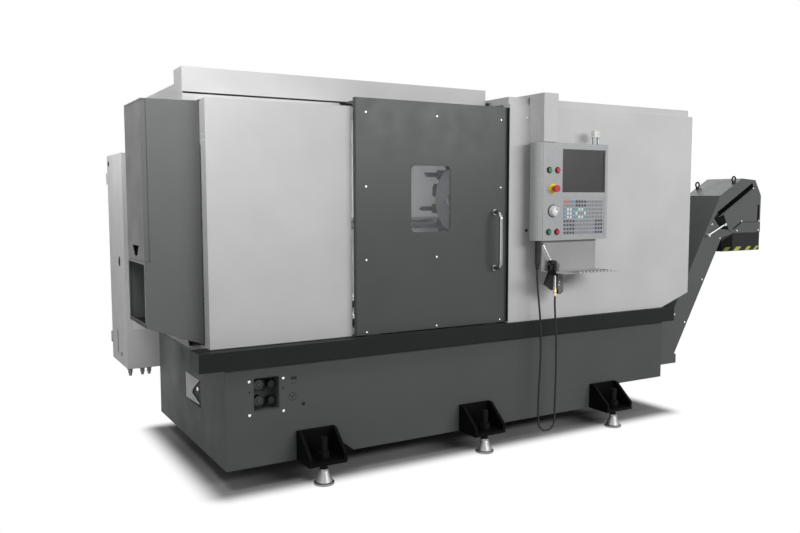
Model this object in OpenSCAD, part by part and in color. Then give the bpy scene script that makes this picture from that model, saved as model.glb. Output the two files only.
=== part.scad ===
// Slant-bed CNC turning lathe with a chip conveyor at its right-hand end.
// Millimetres. +X runs along the front to the right, +Y to the rear, +Z up.
// Inside the modules the front left corner of the base is at X 0, Y 0 and the floor is Z 0.
// place() then moves the origin under the middle of the machine.

/* [Base] */
// Length of the base along the front
base_w = 2880; // [2700:10:3200]
// Depth of the base
base_d = 1240; // [1200:10:1400]
// Height of the base's top edge above the floor
base_top = 587; // [570:1:640]
// Height of the base's underside above the floor
base_lift = 105; // [95:1:125]
// Length of the raised right-hand end of the base
base_step_w = 390; // [300:10:450]
// Rise of the raised right-hand end
base_step_h = 120; // [80:5:130]
// Thickness of the base plating
base_t = 8; // [6:1:10]

/* [Levelling feet] */
// Distance from the base's left end to the first foot
foot_x = 451; // [400:1:500]
// Distance between neighbouring feet
foot_pitch = 956; // [850:1:990]
// Distance from the base to a foot's centre
foot_reach = 100; // [90:1:110]
// Diameter of a foot pad
pad_d = 100; // [80:1:110]
// Height of a foot pad
pad_h = 75; // [60:1:85]
// Diameter of a levelling screw
foot_screw_d = 36; // [30:1:40]
// Width of a foot bracket
bracket_w = 200; // [180:2:230]
// Height of a foot bracket
bracket_h = 145; // [130:1:160]
// Thickness of a foot bracket's walls
bracket_t = 16; // [12:1:20]

/* [Front] */
// Height of the front rail
rail_h = 88; // [70:1:110]
// Depth of the front rail
rail_d = 140; // [130:1:150]
// Distance that the front rail stands in front of the base
rail_over = 30; // [20:1:40]
// Thickness of the sheet metal
sheet_t = 4; // [3:1:6]
// Width of the left front panel
left_panel_w = 737; // [700:1:760]
// Height of the left front panel
left_panel_h = 1155; // [1100:5:1200]
// Height of the right front panel
right_panel_h = 1215; // [1200:5:1230]
// Distance that the right front panel passes the base's right end
right_over = 234; // [200:1:236]
// Width of the cut-off lower corner of the right front panel
corner_w = 240; // [180:5:300]
// Height of the cut-off lower corner of the right front panel
corner_h = 83; // [60:1:120]

/* [Sliding door] */
// Width of the sliding door
door_w = 939; // [900:1:980]
// Thickness of the sliding door
door_t = 30; // [24:1:36]
// Distance from the right front panel's face back to the door's face
door_setback = 20; // [12:1:26]
// Width of the door window
window_w = 243; // [200:1:300]
// Height of the door window
window_h = 346; // [300:1:420]
// Corner radius of the door window
window_r = 26; // [10:1:40]
// Thickness of the window pane
pane_t = 8; // [5:1:12]
// Diameter of the door handle's bar
handle_d = 22; // [18:1:28]
// Length of the door handle
handle_len = 309; // [260:1:360]
// Distance from the door to the middle of the handle's bar
handle_off = 63; // [50:1:75]

/* [Enclosure] */
// Distance that the enclosure passes the base's left end
encl_left = 113; // [100:1:125]
// Distance that the enclosure passes the base's rear
encl_rear = 160; // [158:1:200]
// Height of the door slot above the left front panel
slot_rise = 28; // [20:1:40]
// Height of the door slot
slot_h = 8; // [8:1:12]
// Distance from the right panel's face back to the track hood
hood_y = 184; // [175:1:200]
// Depth of the track hood
hood_d = 141; // [110:1:170]
// Height of the track hood
hood_h = 114; // [90:1:140]
// Height of the roof cap behind the right panel
cap_h = 40; // [36:1:60]
// Width of the end cover
end_w = 264; // [240:1:300]
// Depth of the end cover
end_d = 350; // [330:1:380]
// Height of the end cover's underside above the floor
end_z = 785; // [760:1:800]
// Height of the end cover
end_h = 1035; // [950:5:1040]
// Width of the electrical cabinet
cabinet_w = 455; // [400:1:500]
// Height of the electrical cabinet
cabinet_h = 1300; // [1150:5:1350]
// Depth of the electrical cabinet, with its door
cabinet_d = 320; // [260:1:400]
// Distance that the cabinet's door stands past the enclosure's left side
cabinet_out = 41; // [30:1:60]
// Height of the cabinet's underside above the floor
cabinet_z = 347; // [330:1:400]

/* [Spindle] */
// Height of the spindle axis above the floor
spindle_z = 930; // [915:1:945]
// Distance of the spindle axis behind the base's front
spindle_y = 320; // [310:1:330]
// Radius of the spindle at its bearings
spindle_r = 75; // [70:1:80]
// Radius of the bore for bar stock
bar_r = 38; // [30:1:42]
// Radius of the chuck
chuck_r = 127; // [110:1:150]
// Length of the chuck body
chuck_len = 95; // [80:1:110]
// Length by which the jaws stand out of the chuck
jaw_len = 50; // [40:1:60]

/* [Slant bed] */
// Slope of the bed
slant = 45; // [43:1:47]
// Distance from the spindle axis square down to the ways
way_drop = 420; // [410:1:430]
// Width of a guide rail
way_w = 45; // [35:1:55]
// Height of a guide rail
way_h = 45; // [40:1:50]
// Running clearance of the slides
slide_gap = 0.3; // [0.3:0.1:0.5]

/* [Turret] */
// Front face of the turret disc, from the base's left end
turret_x = 1765; // [1740:1:1790]
// Distance from the spindle axis up the slope to the turret's axis
turret_u = 616; // [600:1:630]
// Radius of the turret disc over its corners
disc_r = 205; // [190:1:215]
// Thickness of the turret disc
disc_t = 150; // [130:1:160]
// Number of tool stations
stations = 12; // [12:2:12]
// Reach of a tool block above the disc's flat
block_h = 64; // [50:1:70]
// Radius of the pivot that carries the turret disc
pivot_r = 60; // [50:1:70]

/* [Tailstock] */
// Distance from the base's right end to the point of the live centre
tail_x = 580; // [550:1:590]
// Radius of the tailstock's quill housing
tail_r = 95; // [85:1:98]
// Radius of the quill
quill_r = 50; // [45:1:60]
// Radius of the live centre's shank
shank_r = 30; // [25:1:34]

/* [Pendant] */
// Left side of the pendant arm, from the right front panel's left edge
arm_x = 140; // [120:1:200]
// Width of the pendant arm
arm_w = 102; // [95:1:130]
// Distance that the pendant arm stands in front of the right panel
arm_out = 122; // [115:1:130]
// Height of the pendant's top above the floor
pendant_top = 1678; // [1640:1:1700]
// Width of the pendant
pendant_w = 529; // [500:1:560]
// Height of the pendant
pendant_h = 540; // [530:1:600]
// Depth of the pendant, and diameter of its round column
pendant_d = 100; // [90:1:104]
// Distance from the right panel to the back of the pendant
pendant_gap = 36; // [32:1:50]
// Width of the screen
screen_w = 322; // [280:1:330]
// Height of the screen
screen_h = 240; // [200:1:250]
// Depth of the tool tray
tray_d = 187; // [150:1:200]
// Height of the tray bracket under the pendant
tray_drop = 175; // [150:1:190]

/* [Conveyor] */
// Distance from the base's front to the conveyor's side
conv_y = 134; // [125:1:138]
// Width of the conveyor
conv_w = 290; // [280:1:296]
// Height of the conveyor's underside above the floor
conv_z = 260; // [255:1:275]
// Slope of the rising part
conv_slope = 60; // [58:1:62]
// Length of the rising part
conv_len = 925; // [860:5:1000]
// Thickness of the rising part
conv_thick = 168; // [150:1:175]
// Thickness of the conveyor's plating
conv_t = 5; // [4:1:6]
// Height of the discharge chute
chute_h = 125; // [100:1:160]

/* [Hidden] */
$fn = 48;

// Paint and metal colours
white_paint = [0.82, 0.82, 0.81];
dark_paint = [0.36, 0.37, 0.365];
base_paint = [0.29, 0.30, 0.295];
black_paint = [0.14, 0.14, 0.14];
grey_paint = [0.62, 0.62, 0.61];
cast_grey = [0.45, 0.46, 0.47];
bright_steel = [0.75, 0.76, 0.77];
conv_paint = [0.40, 0.41, 0.405];

// Small clearances shared by the fits
seat_gap = 0.3;
running_gap = 0.05;

// Heights and edges of the front, worked out from the driving sizes
step_x = base_w - base_step_w;
rail_top = base_top + rail_h;
rail_left = 126;
panel_return = 60;
rail_right = base_w + 77;
rail_rear = rail_d - rail_over;
left_x0 = -47;
left_x1 = left_x0 + left_panel_w;
left_top = rail_top + left_panel_h;
door_x0 = left_x1 + 6;
door_x1 = door_x0 + door_w;
door_y = door_setback;
door_y1 = door_y + door_t;
left_y = door_y1 + 9;
right_x0 = door_x1 + 3;
right_x1 = base_w + right_over;
right_top = rail_top + right_panel_h;
slot_z = left_top + slot_rise;
hood_z = slot_z + slot_h;
door_z0 = rail_top + 5;
door_z1 = hood_z + 6;
hood_y1 = hood_y + hood_d;
hood_x1 = door_x1 - 29;

// Enclosure box
encl_x0 = -encl_left;
encl_x1 = right_x1 - 25;
encl_y1 = base_d + encl_rear;
roof_z = hood_z + 49;
cap_x0 = right_x0 + 2;
cap_y0 = 15;
cap_top = right_top + cap_h;

// End cover at the left-hand end, and cabinet behind the enclosure
end_x0 = left_x0 - end_w;
end_y0 = 144;
end_y1 = end_y0 + end_d;
end_top = end_z + end_h;
cab_x0 = encl_x0 - cabinet_out;
cab_x1 = cab_x0 + cabinet_d;
cab_y0 = encl_y1;
cab_y1 = cab_y0 + cabinet_w;
cab_strip = 130;
cab_top = cabinet_z + cabinet_h;
cab_door_t = 7;
cab_door_gap = 0.5;
cab_box_x = cab_x0 + cab_door_t + cab_door_gap;
hinge_r = 7;
hinge_pin_r = 4;
hinge_x = cab_x0;
hinge_y = cab_y1 + hinge_r + 1;
hinge_len = 60;
hinge_inset = 140;

// Pocket of the pressure regulators in the base's front
pocket_x = 137;
pocket_z = 368;
pocket_w = 132;
pocket_h = 165;
pocket_r = 14;
pocket_d = 90;
pocket_t = 3;
gauge_r = 27;
gauge_x = pocket_x + 38;
knob_x = pocket_x + 98;
dial_rows = [pocket_z + 44, pocket_z + 122];
knob_r = 18;
knob_shaft_r = 6;

// Spindle line
nose_x = 640;
guard_x = 610;
head_x0 = 30;
head_x1 = 600;
chuck_face = nose_x + chuck_len;
jaw_count = 3;
jaw_w = 26;
jaw_slot = 20;

// Slant bed: u runs up the slope from the spindle axis, n square out of it
way_n = -way_drop;
way_top = way_n + way_h;
bed_x0 = 60;
bed_x1 = base_w - 40;
bed_y0 = 450;
bed_y1 = base_d - base_t - 2;
ways_x0 = nose_x;
carriage_ways = [170, 780];
tail_ways = [-200, 40];
carriage_w = 100;

// Carriage train
saddle_x0 = turret_x + disc_t + 15;
saddle_len = 320;
saddle_x1 = saddle_x0 + saddle_len;
saddle_u0 = 110;
saddle_u1 = 900;
saddle_n0 = way_top + 25;
saddle_n1 = saddle_n0 + 60;
cross_w = 35;
cross_h = 35;
cross_inset = 70;
cross_n0 = saddle_n1 + cross_h + 20;
cross_n1 = cross_n0 + 50;
cross_len = 440;
upright_x0 = saddle_x1 - 70;
y_way_w = 30;
y_way_h = 20;
y_way_off = 100;
head_half = 140;
head_drop = 120;
block_w = 84;
block_len = 120;
block_x = turret_x + 12;
flat_r = disc_r * cos(180 / stations);
tool_reach = 35;
bar_reach = 105;

// Tailstock
tail_tip = base_w - tail_x;
quill_out = 60;
tail_nose = 120;
tail_len = 360;
shank_len = 75;

// Pendant
arm_x0 = right_x0 + arm_x;
arm_x1 = arm_x0 + arm_w;
arm_bottom = pendant_top + 4;
arm_rise = 17;
arm_top = max(cap_top, arm_bottom) + arm_rise;
arm_rear = 430;
pivot_x = arm_x0 + 22;
column_r = pendant_d / 2;
column_x = pivot_x - 21;
column_y = -pendant_gap - column_r;
pendant_x0 = column_x - column_r;
pendant_x1 = pendant_x0 + pendant_w;
pendant_y = -pendant_gap - pendant_d;
pendant_z = pendant_top - pendant_h;
pend_pin_r = 20;
pend_pin_len = 40;
screen_x = pendant_x1 - 32 - screen_w;
screen_z = pendant_top - 33 - screen_h;
pad_x = screen_x + 2;
keypad_w = screen_w - 6;
keypad_h = 212;
keypad_z = pendant_z + 22;
face_recess = 6;
key_cols = 14;
key_rows = 9;
button_x = [pivot_x + 8, pivot_x + 67];
power_z = pendant_top - 151;
cycle_z = pendant_z + 48;
stop_x = pivot_x + 37;
stop_z = pendant_top - 253;
jog_z = pendant_top - 376;
button_travel = 4;
button_r = 12;
stop_r = 19;
jog_r = 30;
stem_r = 6;
stem_len = 14;
tray_x0 = pivot_x - 8;
tray_x1 = tray_x0 + 403;
tray_y1 = pendant_y + 40;
tray_y0 = tray_y1 - tray_d;
tray_z = pendant_z - tray_drop;
tray_t = 3;

// Air gun, its head resting on the notch at the tray's left end
gun_foot = [1866, -130, 826];
gun_notch_r = 12;
gun_seat = tray_z + tray_t + seat_gap - gun_foot.z;
lever_pin = [-38, gun_seat + 24];
hose_d = 11;
hose_sides = 8;
hose_steps = 3;
hose_points = [[1773, -86, 975], [1773, -86, 940], [1775, -88, 880], [1782, -92, 800], [1790, -96, 700],
    [1794, -98, 600], [1794, -100, 500], [1789, -102, 400], [1781, -104, 300], [1776, -106, 200],
    [1776, -108, 110], [1783, -110, 83], [1803, -112, 63], [1830, -114, 56], [1857, -116, 63],
    [1877, -117, 83], [1884, -118, 110], [1885, -120, 200], [1887, -122, 300], [1887, -124, 400],
    [1885, -126, 500], [1881, -128, 600], [1873, -129, 690], [1867, -130, 760], [1866, -130, 796], gun_foot];

// Conveyor side view: A and B are the ends of the rising top edge
conv_y1 = conv_y + conv_w;
trough_x0 = guard_x + 20;
boot_x = base_w + 296;
ax = base_w + 239;
conv_a = [ax, base_top];
conv_b = conv_a + conv_len * [cos(conv_slope), sin(conv_slope)];
head_end = conv_b.x + 440;
chute_top = conv_b.y - 264;
under_x = function (z) ax + (z - base_top) / tan(conv_slope) + conv_thick / sin(conv_slope);
boot_z = conv_z + 60;
lip_z = chute_top - 30;
conv_profile = [[trough_x0, conv_z], [boot_x, conv_z], [boot_x, boot_z], [under_x(boot_z), boot_z + 5],
    [under_x(lip_z), lip_z], [under_x(lip_z) + 119, chute_top], [head_end - 3, chute_top],
    [head_end, conv_b.y + 5], [head_end - 66, conv_b.y + 111], [head_end - 215, conv_b.y + 121],
    conv_b, conv_a, [trough_x0, base_top]];
chute_profile = [[under_x(lip_z), chute_top - chute_h], [head_end - 3, chute_top - chute_h],
    [head_end - 3, chute_top], [under_x(lip_z) + 119, chute_top], [under_x(lip_z), lip_z]];
belt_z = conv_z + 110;
belt_t = 4;
link_pitch = 64;
strip_w = 20;

// Middle of the machine's box, which becomes the origin
mid_x = (end_x0 + head_end) / 2;
mid_y = (tray_y0 + hinge_y + hinge_r) / 2;

// Shared shapes

module place() {
    translate([-mid_x, -mid_y, 0]) children();
}

// Box from one corner to the opposite one
module block(low, high) {
    translate(low) cube(high - low);
}

// Outline in X and Z, extruded from y0 to y1
module along_y(y0, y1) {
    translate([0, y1, 0]) rotate([90, 0, 0]) linear_extrude(y1 - y0) children();
}

// Outline in Y and Z, extruded from x0 to x1
module along_x(x0, x1) {
    translate([x0, 0, 0]) rotate([90, 0, 90]) linear_extrude(x1 - x0) children();
}

// Round bar along X, from x0 to x1
module bar_x(x0, x1, r) {
    translate([x0, 0, 0]) rotate([0, 90, 0]) cylinder(h = x1 - x0, r = r);
}

// Round bar along Y, from y0 to y1
module bar_y(x, z, y0, y1, r) {
    translate([x, y0, z]) rotate([-90, 0, 0]) cylinder(h = y1 - y0, r = r);
}

// Frame of the slant bed: Y runs up the slope and Z square out of it
module on_slant() {
    translate([0, spindle_y, spindle_z]) rotate([slant, 0, 0]) children();
}

module on_spindle() {
    translate([0, spindle_y, spindle_z]) children();
}

module on_turret() {
    on_slant() translate([0, turret_u, 0]) children();
}

// Rectangle with rounded corners, lower left corner at the origin
module round_rect(w, h, r) {
    translate([r, 0]) square([w - 2 * r, h]);
    translate([0, r]) square([w, h - 2 * r]);
    for (x = [r, w - r], y = [r, h - r]) translate([x, y]) circle(r);
}

// Points of an anticlockwise outline, moved in by d
function unit(v) = v / norm(v);
function inset(p, d) = [for (i = [0 : len(p) - 1])
    let (a = p[(i + len(p) - 1) % len(p)], c = p[(i + 1) % len(p)],
         s = unit(p[i] - a), e = unit(c - p[i]),
         m = [-s.y, s.x], n = [-e.y, e.x])
    p[i] + d * (m + n) / (1 + m * n)];

// Base, feet and front rail

function base_outline(t, top) = [[t, base_lift + t], [step_x - t, base_lift + t],
    [step_x - t, base_lift + base_step_h + t], [base_w - t, base_lift + base_step_h + t],
    [base_w - t, top], [t, top]];

module pocket_outline(grow) {
    translate([pocket_x - grow, pocket_z - grow])
        round_rect(pocket_w + 2 * grow, pocket_h + 2 * grow, pocket_r + grow);
}

module base_skirt() {
    side_hole_y = [395, 680];
    side_hole_z = [317, 456];
    color(base_paint) difference() {
        along_y(0, base_d) polygon(base_outline(0, base_top));
        along_y(base_t, base_d - base_t) polygon(base_outline(base_t, base_top + 1));
        along_y(-1, base_t + 1) pocket_outline(0);
        block([-1, side_hole_y[0], side_hole_z[0]], [base_t + 1, side_hole_y[1], side_hole_z[1]]);
        block([base_w - base_t - 1, conv_y - seat_gap, conv_z - seat_gap],
            [base_w + 1, conv_y1 + seat_gap, base_top + 1]);
    }
}

module front_rail() {
    groove_w = 16;
    groove_d = 20;
    groove_y = door_y + door_t / 2 - groove_w / 2;
    lip_t = 4;
    color(black_paint) {
        difference() {
            block([-rail_left, -rail_over, base_top], [rail_right, rail_rear, rail_top]);
            block([16 - rail_left, groove_y, rail_top - groove_d],
                [right_x0, groove_y + groove_w, rail_top + 1]);
        }
        block([trough_x0, rail_rear, base_top], [base_w - base_t, conv_y + conv_t, base_top + lip_t]);
    }
}

// Repeats its children at every foot, front and rear
module at_feet() {
    for (i = [0 : 2]) translate([foot_x + i * foot_pitch, 0, 0]) {
        translate([0, -foot_reach, 0]) children();
        translate([0, base_d + foot_reach, 0]) mirror([0, 1, 0]) children();
    }
}

module foot_brackets() {
    reach = foot_reach + 55;
    wing = 110;
    color([0.24, 0.235, 0.235]) at_feet() translate([0, foot_reach, base_lift]) difference() {
        union() {
            block([-bracket_w / 2, -reach, 0], [bracket_w / 2, 0, bracket_t]);
            block([-bracket_w / 2, -bracket_t, 0], [bracket_w / 2, 0, bracket_h]);
            for (x = [-bracket_w / 2, bracket_w / 2 - bracket_t])
                along_x(x, x + bracket_t)
                    polygon([[-reach, bracket_t], [0, bracket_t], [0, bracket_h],
                        [-bracket_t - 20, bracket_h], [-reach, bracket_t + 30]]);
            along_y(-bracket_t, 0)
                polygon([[bracket_w / 2, 0], [bracket_w / 2 + wing, 0], [bracket_w / 2, bracket_h * 0.6]]);
            translate([0, -foot_reach, 0]) cylinder(h = bracket_t + 14, r = foot_screw_d / 2 + 14);
        }
        translate([0, -foot_reach, -1]) cylinder(h = bracket_t + 16, r = foot_screw_d / 2 + seat_gap);
    }
}

module leveling_screws() {
    nut_z = base_lift + bracket_t + 14;
    color([0.10, 0.10, 0.10]) at_feet() {
        translate([0, 0, pad_h]) cylinder(h = base_lift + bracket_h - 20 - pad_h, r = foot_screw_d / 2);
        translate([0, 0, nut_z]) cylinder(h = 24, r = foot_screw_d * 0.85, $fn = 6);
    }
}

module leveling_pads() {
    flange_h = 14;
    color(bright_steel) at_feet() rotate_extrude()
        polygon([[0, 0], [pad_d / 2, 0], [pad_d / 2, flange_h - 4], [pad_d / 2 - 8, flange_h],
            [foot_screw_d / 2 + 4, pad_h - 10], [foot_screw_d / 2 + 4, pad_h], [0, pad_h]]);
}

// Regulators in the pocket

module hydraulic_pocket() {
    color(dark_paint) difference() {
        along_y(0, pocket_d) pocket_outline(-seat_gap);
        along_y(-1, pocket_d - pocket_t) pocket_outline(-seat_gap - pocket_t);
        for (z = dial_rows) bar_y(knob_x, z, 0, pocket_d + 1, knob_shaft_r + running_gap);
    }
}

module pressure_gauges() {
    face = 30;
    color([0.12, 0.12, 0.12]) for (z = dial_rows) difference() {
        union() {
            bar_y(gauge_x, z, face, face + 28, gauge_r);
            bar_y(gauge_x, z, face + 27, pocket_d - pocket_t, 8);
        }
        bar_y(gauge_x, z, face - 1, face + 3, gauge_r - 4);
    }
}

module pressure_knob(z) {
    front = 24;
    grooves = 12;
    color([0.13, 0.13, 0.13]) {
        difference() {
            bar_y(knob_x, z, front, front + 32, knob_r);
            for (i = [0 : grooves - 1]) translate([knob_x, 0, z]) rotate([0, i * 360 / grooves, 0])
                bar_y(knob_r + 1, 0, front - 1, front + 33, 3);
        }
        bar_y(knob_x, z, front + 31, pocket_d + 8, knob_shaft_r);
    }
}

module pressure_knob_upper() {
    pressure_knob(dial_rows[1]);
}

module pressure_knob_lower() {
    pressure_knob(dial_rows[0]);
}

// Fixed panels of the enclosure

module left_front_panel() {
    return_d = 76;
    tab_d = 91;
    tab_z = [left_top - 210, left_top - 10];
    color(white_paint) {
        block([left_x0, left_y, rail_top], [left_x1, left_y + sheet_t, left_top]);
        block([left_x0, left_y, rail_top], [left_x0 + sheet_t, left_y + return_d, left_top]);
        block([left_x0, left_y, tab_z[0]], [left_x0 + sheet_t, left_y + tab_d, tab_z[1]]);
        block([left_x1 - sheet_t, left_y, rail_top], [left_x1, left_y + 50, left_top]);
        block([left_x0, left_y, left_top - sheet_t], [left_x1, hood_y + sheet_t, left_top]);
        block([encl_x0, hood_y, left_top - sheet_t], [left_x1, hood_y + sheet_t, slot_z]);
    }
}

module right_front_panel() {
    color(white_paint) {
        along_y(0, sheet_t) polygon([[right_x0, rail_top], [right_x1 - corner_w, rail_top],
            [right_x1, rail_top + corner_h], [right_x1, right_top], [right_x0, right_top]]);
        block([right_x0, 0, rail_top], [right_x0 + sheet_t, panel_return, right_top]);
        block([right_x0, 0, right_top - sheet_t], [right_x1, panel_return, right_top]);
        block([right_x1 - sheet_t, 0, rail_top + corner_h], [right_x1, panel_return, right_top]);
    }
}

// Side of the enclosure, whose underside steps in to the base
module left_wall() {
    color(white_paint) {
        difference() {
            along_x(encl_x0, encl_x0 + sheet_t)
                polygon([[hood_y + sheet_t, rail_top], [encl_y1 - sheet_t, rail_top],
                    [encl_y1 - sheet_t, roof_z - sheet_t], [hood_y1, roof_z - sheet_t], [hood_y1, hood_z],
                    [hood_y + sheet_t, hood_z]]);
            on_spindle() bar_x(encl_x0 - 1, encl_x0 + sheet_t + 1, spindle_r + 20);
        }
        along_y(hood_y + sheet_t, encl_y1 - sheet_t)
            polygon([[encl_x0, rail_top], [0, rail_top], [0, base_top], [sheet_t, base_top],
                [sheet_t, rail_top + sheet_t], [encl_x0, rail_top + sheet_t]]);
    }
}

// Other side, whose underside slopes down behind the front panel's cut corner
module right_wall() {
    corner_z = rail_top + corner_h;
    color(white_paint) {
        along_x(encl_x1 - sheet_t, encl_x1)
            polygon([[sheet_t, corner_z], [encl_y1 - sheet_t, corner_z], [encl_y1 - sheet_t, right_top],
                [panel_return, right_top], [panel_return, right_top - sheet_t],
                [sheet_t, right_top - sheet_t]]);
        along_y(rail_rear, encl_y1 - sheet_t)
            polygon([[base_w - sheet_t, base_top], [base_w, base_top], [base_w, rail_top],
                [rail_right, rail_top], [encl_x1, corner_z], [encl_x1, corner_z + sheet_t],
                [rail_right, rail_top + sheet_t], [base_w - sheet_t, rail_top + sheet_t]]);
    }
}

// Four panels with open joints between them, and vent slots in the second one
module rear_wall() {
    panels = 4;
    panel_w = (encl_x1 - encl_x0) / panels;
    joint_w = 4;
    joint_d = 2;
    vents = 9;
    vent = [240, 9];
    vent_pitch = 28;
    vent_x = encl_x0 + panel_w + (panel_w - vent.x) / 2;
    vent_z = base_top + 480;
    color(white_paint) difference() {
        along_y(encl_y1 - sheet_t, encl_y1)
            polygon([[encl_x0, base_top], [encl_x1, base_top], [encl_x1, right_top], [cap_x0, right_top],
                [cap_x0, roof_z - sheet_t], [encl_x0, roof_z - sheet_t]]);
        for (i = [1 : panels - 1])
            translate([encl_x0 + i * panel_w - joint_w / 2, encl_y1 - joint_d, base_top - 1])
                cube([joint_w, joint_d + 1, roof_z - base_top]);
        for (i = [0 : vents - 1]) translate([vent_x, 0, vent_z + i * vent_pitch])
            along_y(encl_y1 - sheet_t - 1, encl_y1 + 1) round_rect(vent.x, vent.y, vent.y / 2 - 0.5);
    }
}

module roof() {
    color(white_paint) {
        block([encl_x0, hood_y1, roof_z - sheet_t], [cap_x0, encl_y1, roof_z]);
        block([hood_x1, hood_y, roof_z - sheet_t], [cap_x0, hood_y1, roof_z]);
        difference() {
            block([cap_x0, cap_y0, right_top], [encl_x1, encl_y1, cap_top]);
            block([cap_x0 + sheet_t, cap_y0 + sheet_t, right_top - 1],
                [encl_x1 - sheet_t, encl_y1 - sheet_t, cap_top - sheet_t]);
        }
    }
}

module track_hood() {
    color(white_paint) difference() {
        block([encl_x0, hood_y, hood_z], [hood_x1, hood_y1, hood_z + hood_h]);
        block([encl_x0 + sheet_t, hood_y + sheet_t, hood_z - 1],
            [hood_x1 - sheet_t, hood_y1 - sheet_t, hood_z + hood_h - sheet_t]);
    }
}

module end_cover() {
    recess_h = 290;
    rim = 18;
    grip_y = end_y0 + 180;
    grip_z = recess_h + 32;
    grip_half = [28, 68];
    grip_h = 50;
    seam_w = 3;
    seam_d = 2;
    seam_x = end_x0 + 20;
    seam_z = [end_z + recess_h + 12, end_top - 12];
    apron_h = 98;
    color(dark_paint) {
        difference() {
            block([end_x0, end_y0, end_z], [encl_x0, end_y1, end_top]);
            block([end_x0 + sheet_t, end_y0 + sheet_t, end_z + sheet_t],
                [encl_x0 + 1, end_y1 - sheet_t, end_top - sheet_t]);
            block([end_x0 - 1, end_y0 + rim, end_z + rim],
                [end_x0 + sheet_t + 1, end_y1 - rim, end_z + recess_h]);
            along_x(end_x0 - 1, end_x0 + sheet_t + 1) translate([grip_y, end_z + grip_z])
                polygon([[-grip_half[0], 0], [grip_half[0], 0],
                    [grip_half[1], grip_h], [-grip_half[1], grip_h]]);
            block([seam_x, end_y0 - 1, seam_z[0]], [seam_x + seam_w, end_y0 + seam_d, seam_z[1]]);
            for (z = seam_z) {
                block([end_x0 - 1, end_y0 - 1, z], [seam_x + seam_w, end_y0 + seam_d, z + seam_w]);
                block([end_x0 - 1, end_y0 - 1, z], [end_x0 + seam_d, end_y1 + 1, z + seam_w]);
            }
        }
        block([encl_x0, end_y0, end_z], [left_x0, end_y0 + sheet_t, end_top]);
        along_y(end_y0, end_y0 + sheet_t) polygon([[end_x0, end_z], [left_x0, end_z - apron_h],
            [left_x0, end_z + 1], [end_x0, end_z + 1]]);
    }
}

// Plate that closes the work chamber towards the headstock, cut to clear the bed
module headstock_guard() {
    clear = 16;
    slope_y = function (n, z) spindle_y - n / sin(slant) + (z - spindle_z) / tan(slant);
    low_z = base_top + 3;
    edge_n = way_top + clear;
    rear_y = encl_y1 - sheet_t;
    turn_y = bed_y1 + 5;
    turn_z = spindle_z + (turn_y - spindle_y + edge_n / sin(slant)) * tan(slant);
    color(grey_paint) difference() {
        along_x(guard_x, guard_x + sheet_t)
            polygon([[left_y + sheet_t, low_z], [slope_y(edge_n, low_z), low_z], [turn_y, turn_z],
                [rear_y, turn_z], [rear_y, left_top - sheet_t], [left_y + sheet_t, left_top - sheet_t]]);
        block([guard_x - 1, left_y, low_z - 1], [guard_x + sheet_t + 1, rail_rear + 1, rail_top + 1]);
        on_spindle() bar_x(guard_x - 1, guard_x + sheet_t + 1, spindle_r + 36);
    }
}

// Electrical cabinet

module electrical_cabinet() {
    device_rows = 4;
    device_cols = 3;
    device_d = [70, 85];
    device_gap = [12, 60];
    margin = [30, 100];
    pitch_z = (cabinet_h - 2 * margin[1]) / device_rows;
    pitch_y = (cabinet_w - 2 * margin[0]) / device_cols;
    stub_h = 10;
    leaf_x = cab_box_x + 30;
    color(grey_paint) {
        difference() {
            block([cab_box_x, cab_y0, cabinet_z], [cab_x1, cab_y1, cab_top]);
            block([cab_box_x - 1, cab_y0 + sheet_t, cabinet_z + sheet_t],
                [cab_x1 - sheet_t, cab_y1 - sheet_t, cab_top - sheet_t]);
        }
        block([cab_x0, cab_y0, cabinet_z], [cab_box_x + sheet_t, cab_y0 + cab_strip, cab_top]);
        for (r = [0 : device_rows - 1], c = [0 : device_cols - 1])
            translate([cab_x1 - sheet_t, cab_y0 + margin[0] + c * pitch_y,
                cabinet_z + margin[1] + r * pitch_z]) block([-device_d[c % 2], device_gap[0] / 2, 0],
                    [0, pitch_y - device_gap[0] / 2, pitch_z - device_gap[1]]);
        for (z = [cabinet_z + hinge_inset, cab_top - hinge_inset]) {
            z0 = z - hinge_len / 2 - stub_h;
            translate([hinge_x, hinge_y, z0]) cylinder(h = hinge_len + stub_h, r = hinge_pin_r);
            translate([hinge_x, hinge_y, z0]) cylinder(h = stub_h - seat_gap, r = hinge_r);
            block([hinge_x, cab_y1, z0], [leaf_x, hinge_y + 2, z0 + stub_h - seat_gap]);
        }
    }
}

module cabinet_door() {
    door_gap = 2;
    color(grey_paint) {
        block([cab_x0, cab_y0 + cab_strip + door_gap, cabinet_z], [cab_x0 + cab_door_t, cab_y1, cab_top]);
        for (z = [cabinet_z + hinge_inset, cab_top - hinge_inset]) difference() {
            union() {
                translate([hinge_x, hinge_y, z - hinge_len / 2]) cylinder(h = hinge_len, r = hinge_r);
                block([hinge_x, cab_y1 - 1, z - hinge_len / 2], [hinge_x + 4, hinge_y, z + hinge_len / 2]);
            }
            translate([hinge_x, hinge_y, z - hinge_len / 2 - 1])
                cylinder(h = hinge_len + 2, r = hinge_pin_r + running_gap);
        }
    }
}

module cable_glands() {
    gland_y = cab_y0 + 60;
    color([0.16, 0.16, 0.16]) for (x = [26, 98, 138]) translate([cab_x0 + x, gland_y, cabinet_z]) {
        translate([0, 0, -14]) cylinder(h = 14, r = 18, $fn = 6);
        translate([0, 0, -36]) cylinder(h = 23, r = 13);
        translate([0, 0, -52]) cylinder(h = 17, r = 9);
    }
}

// Sliding door

module window_outline(grow) {
    win_x = door_x0 + 321;
    win_z = door_z0 + 517;
    translate([win_x - grow, win_z - grow])
        round_rect(window_w + 2 * grow, window_h + 2 * grow, window_r + grow);
}

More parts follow.
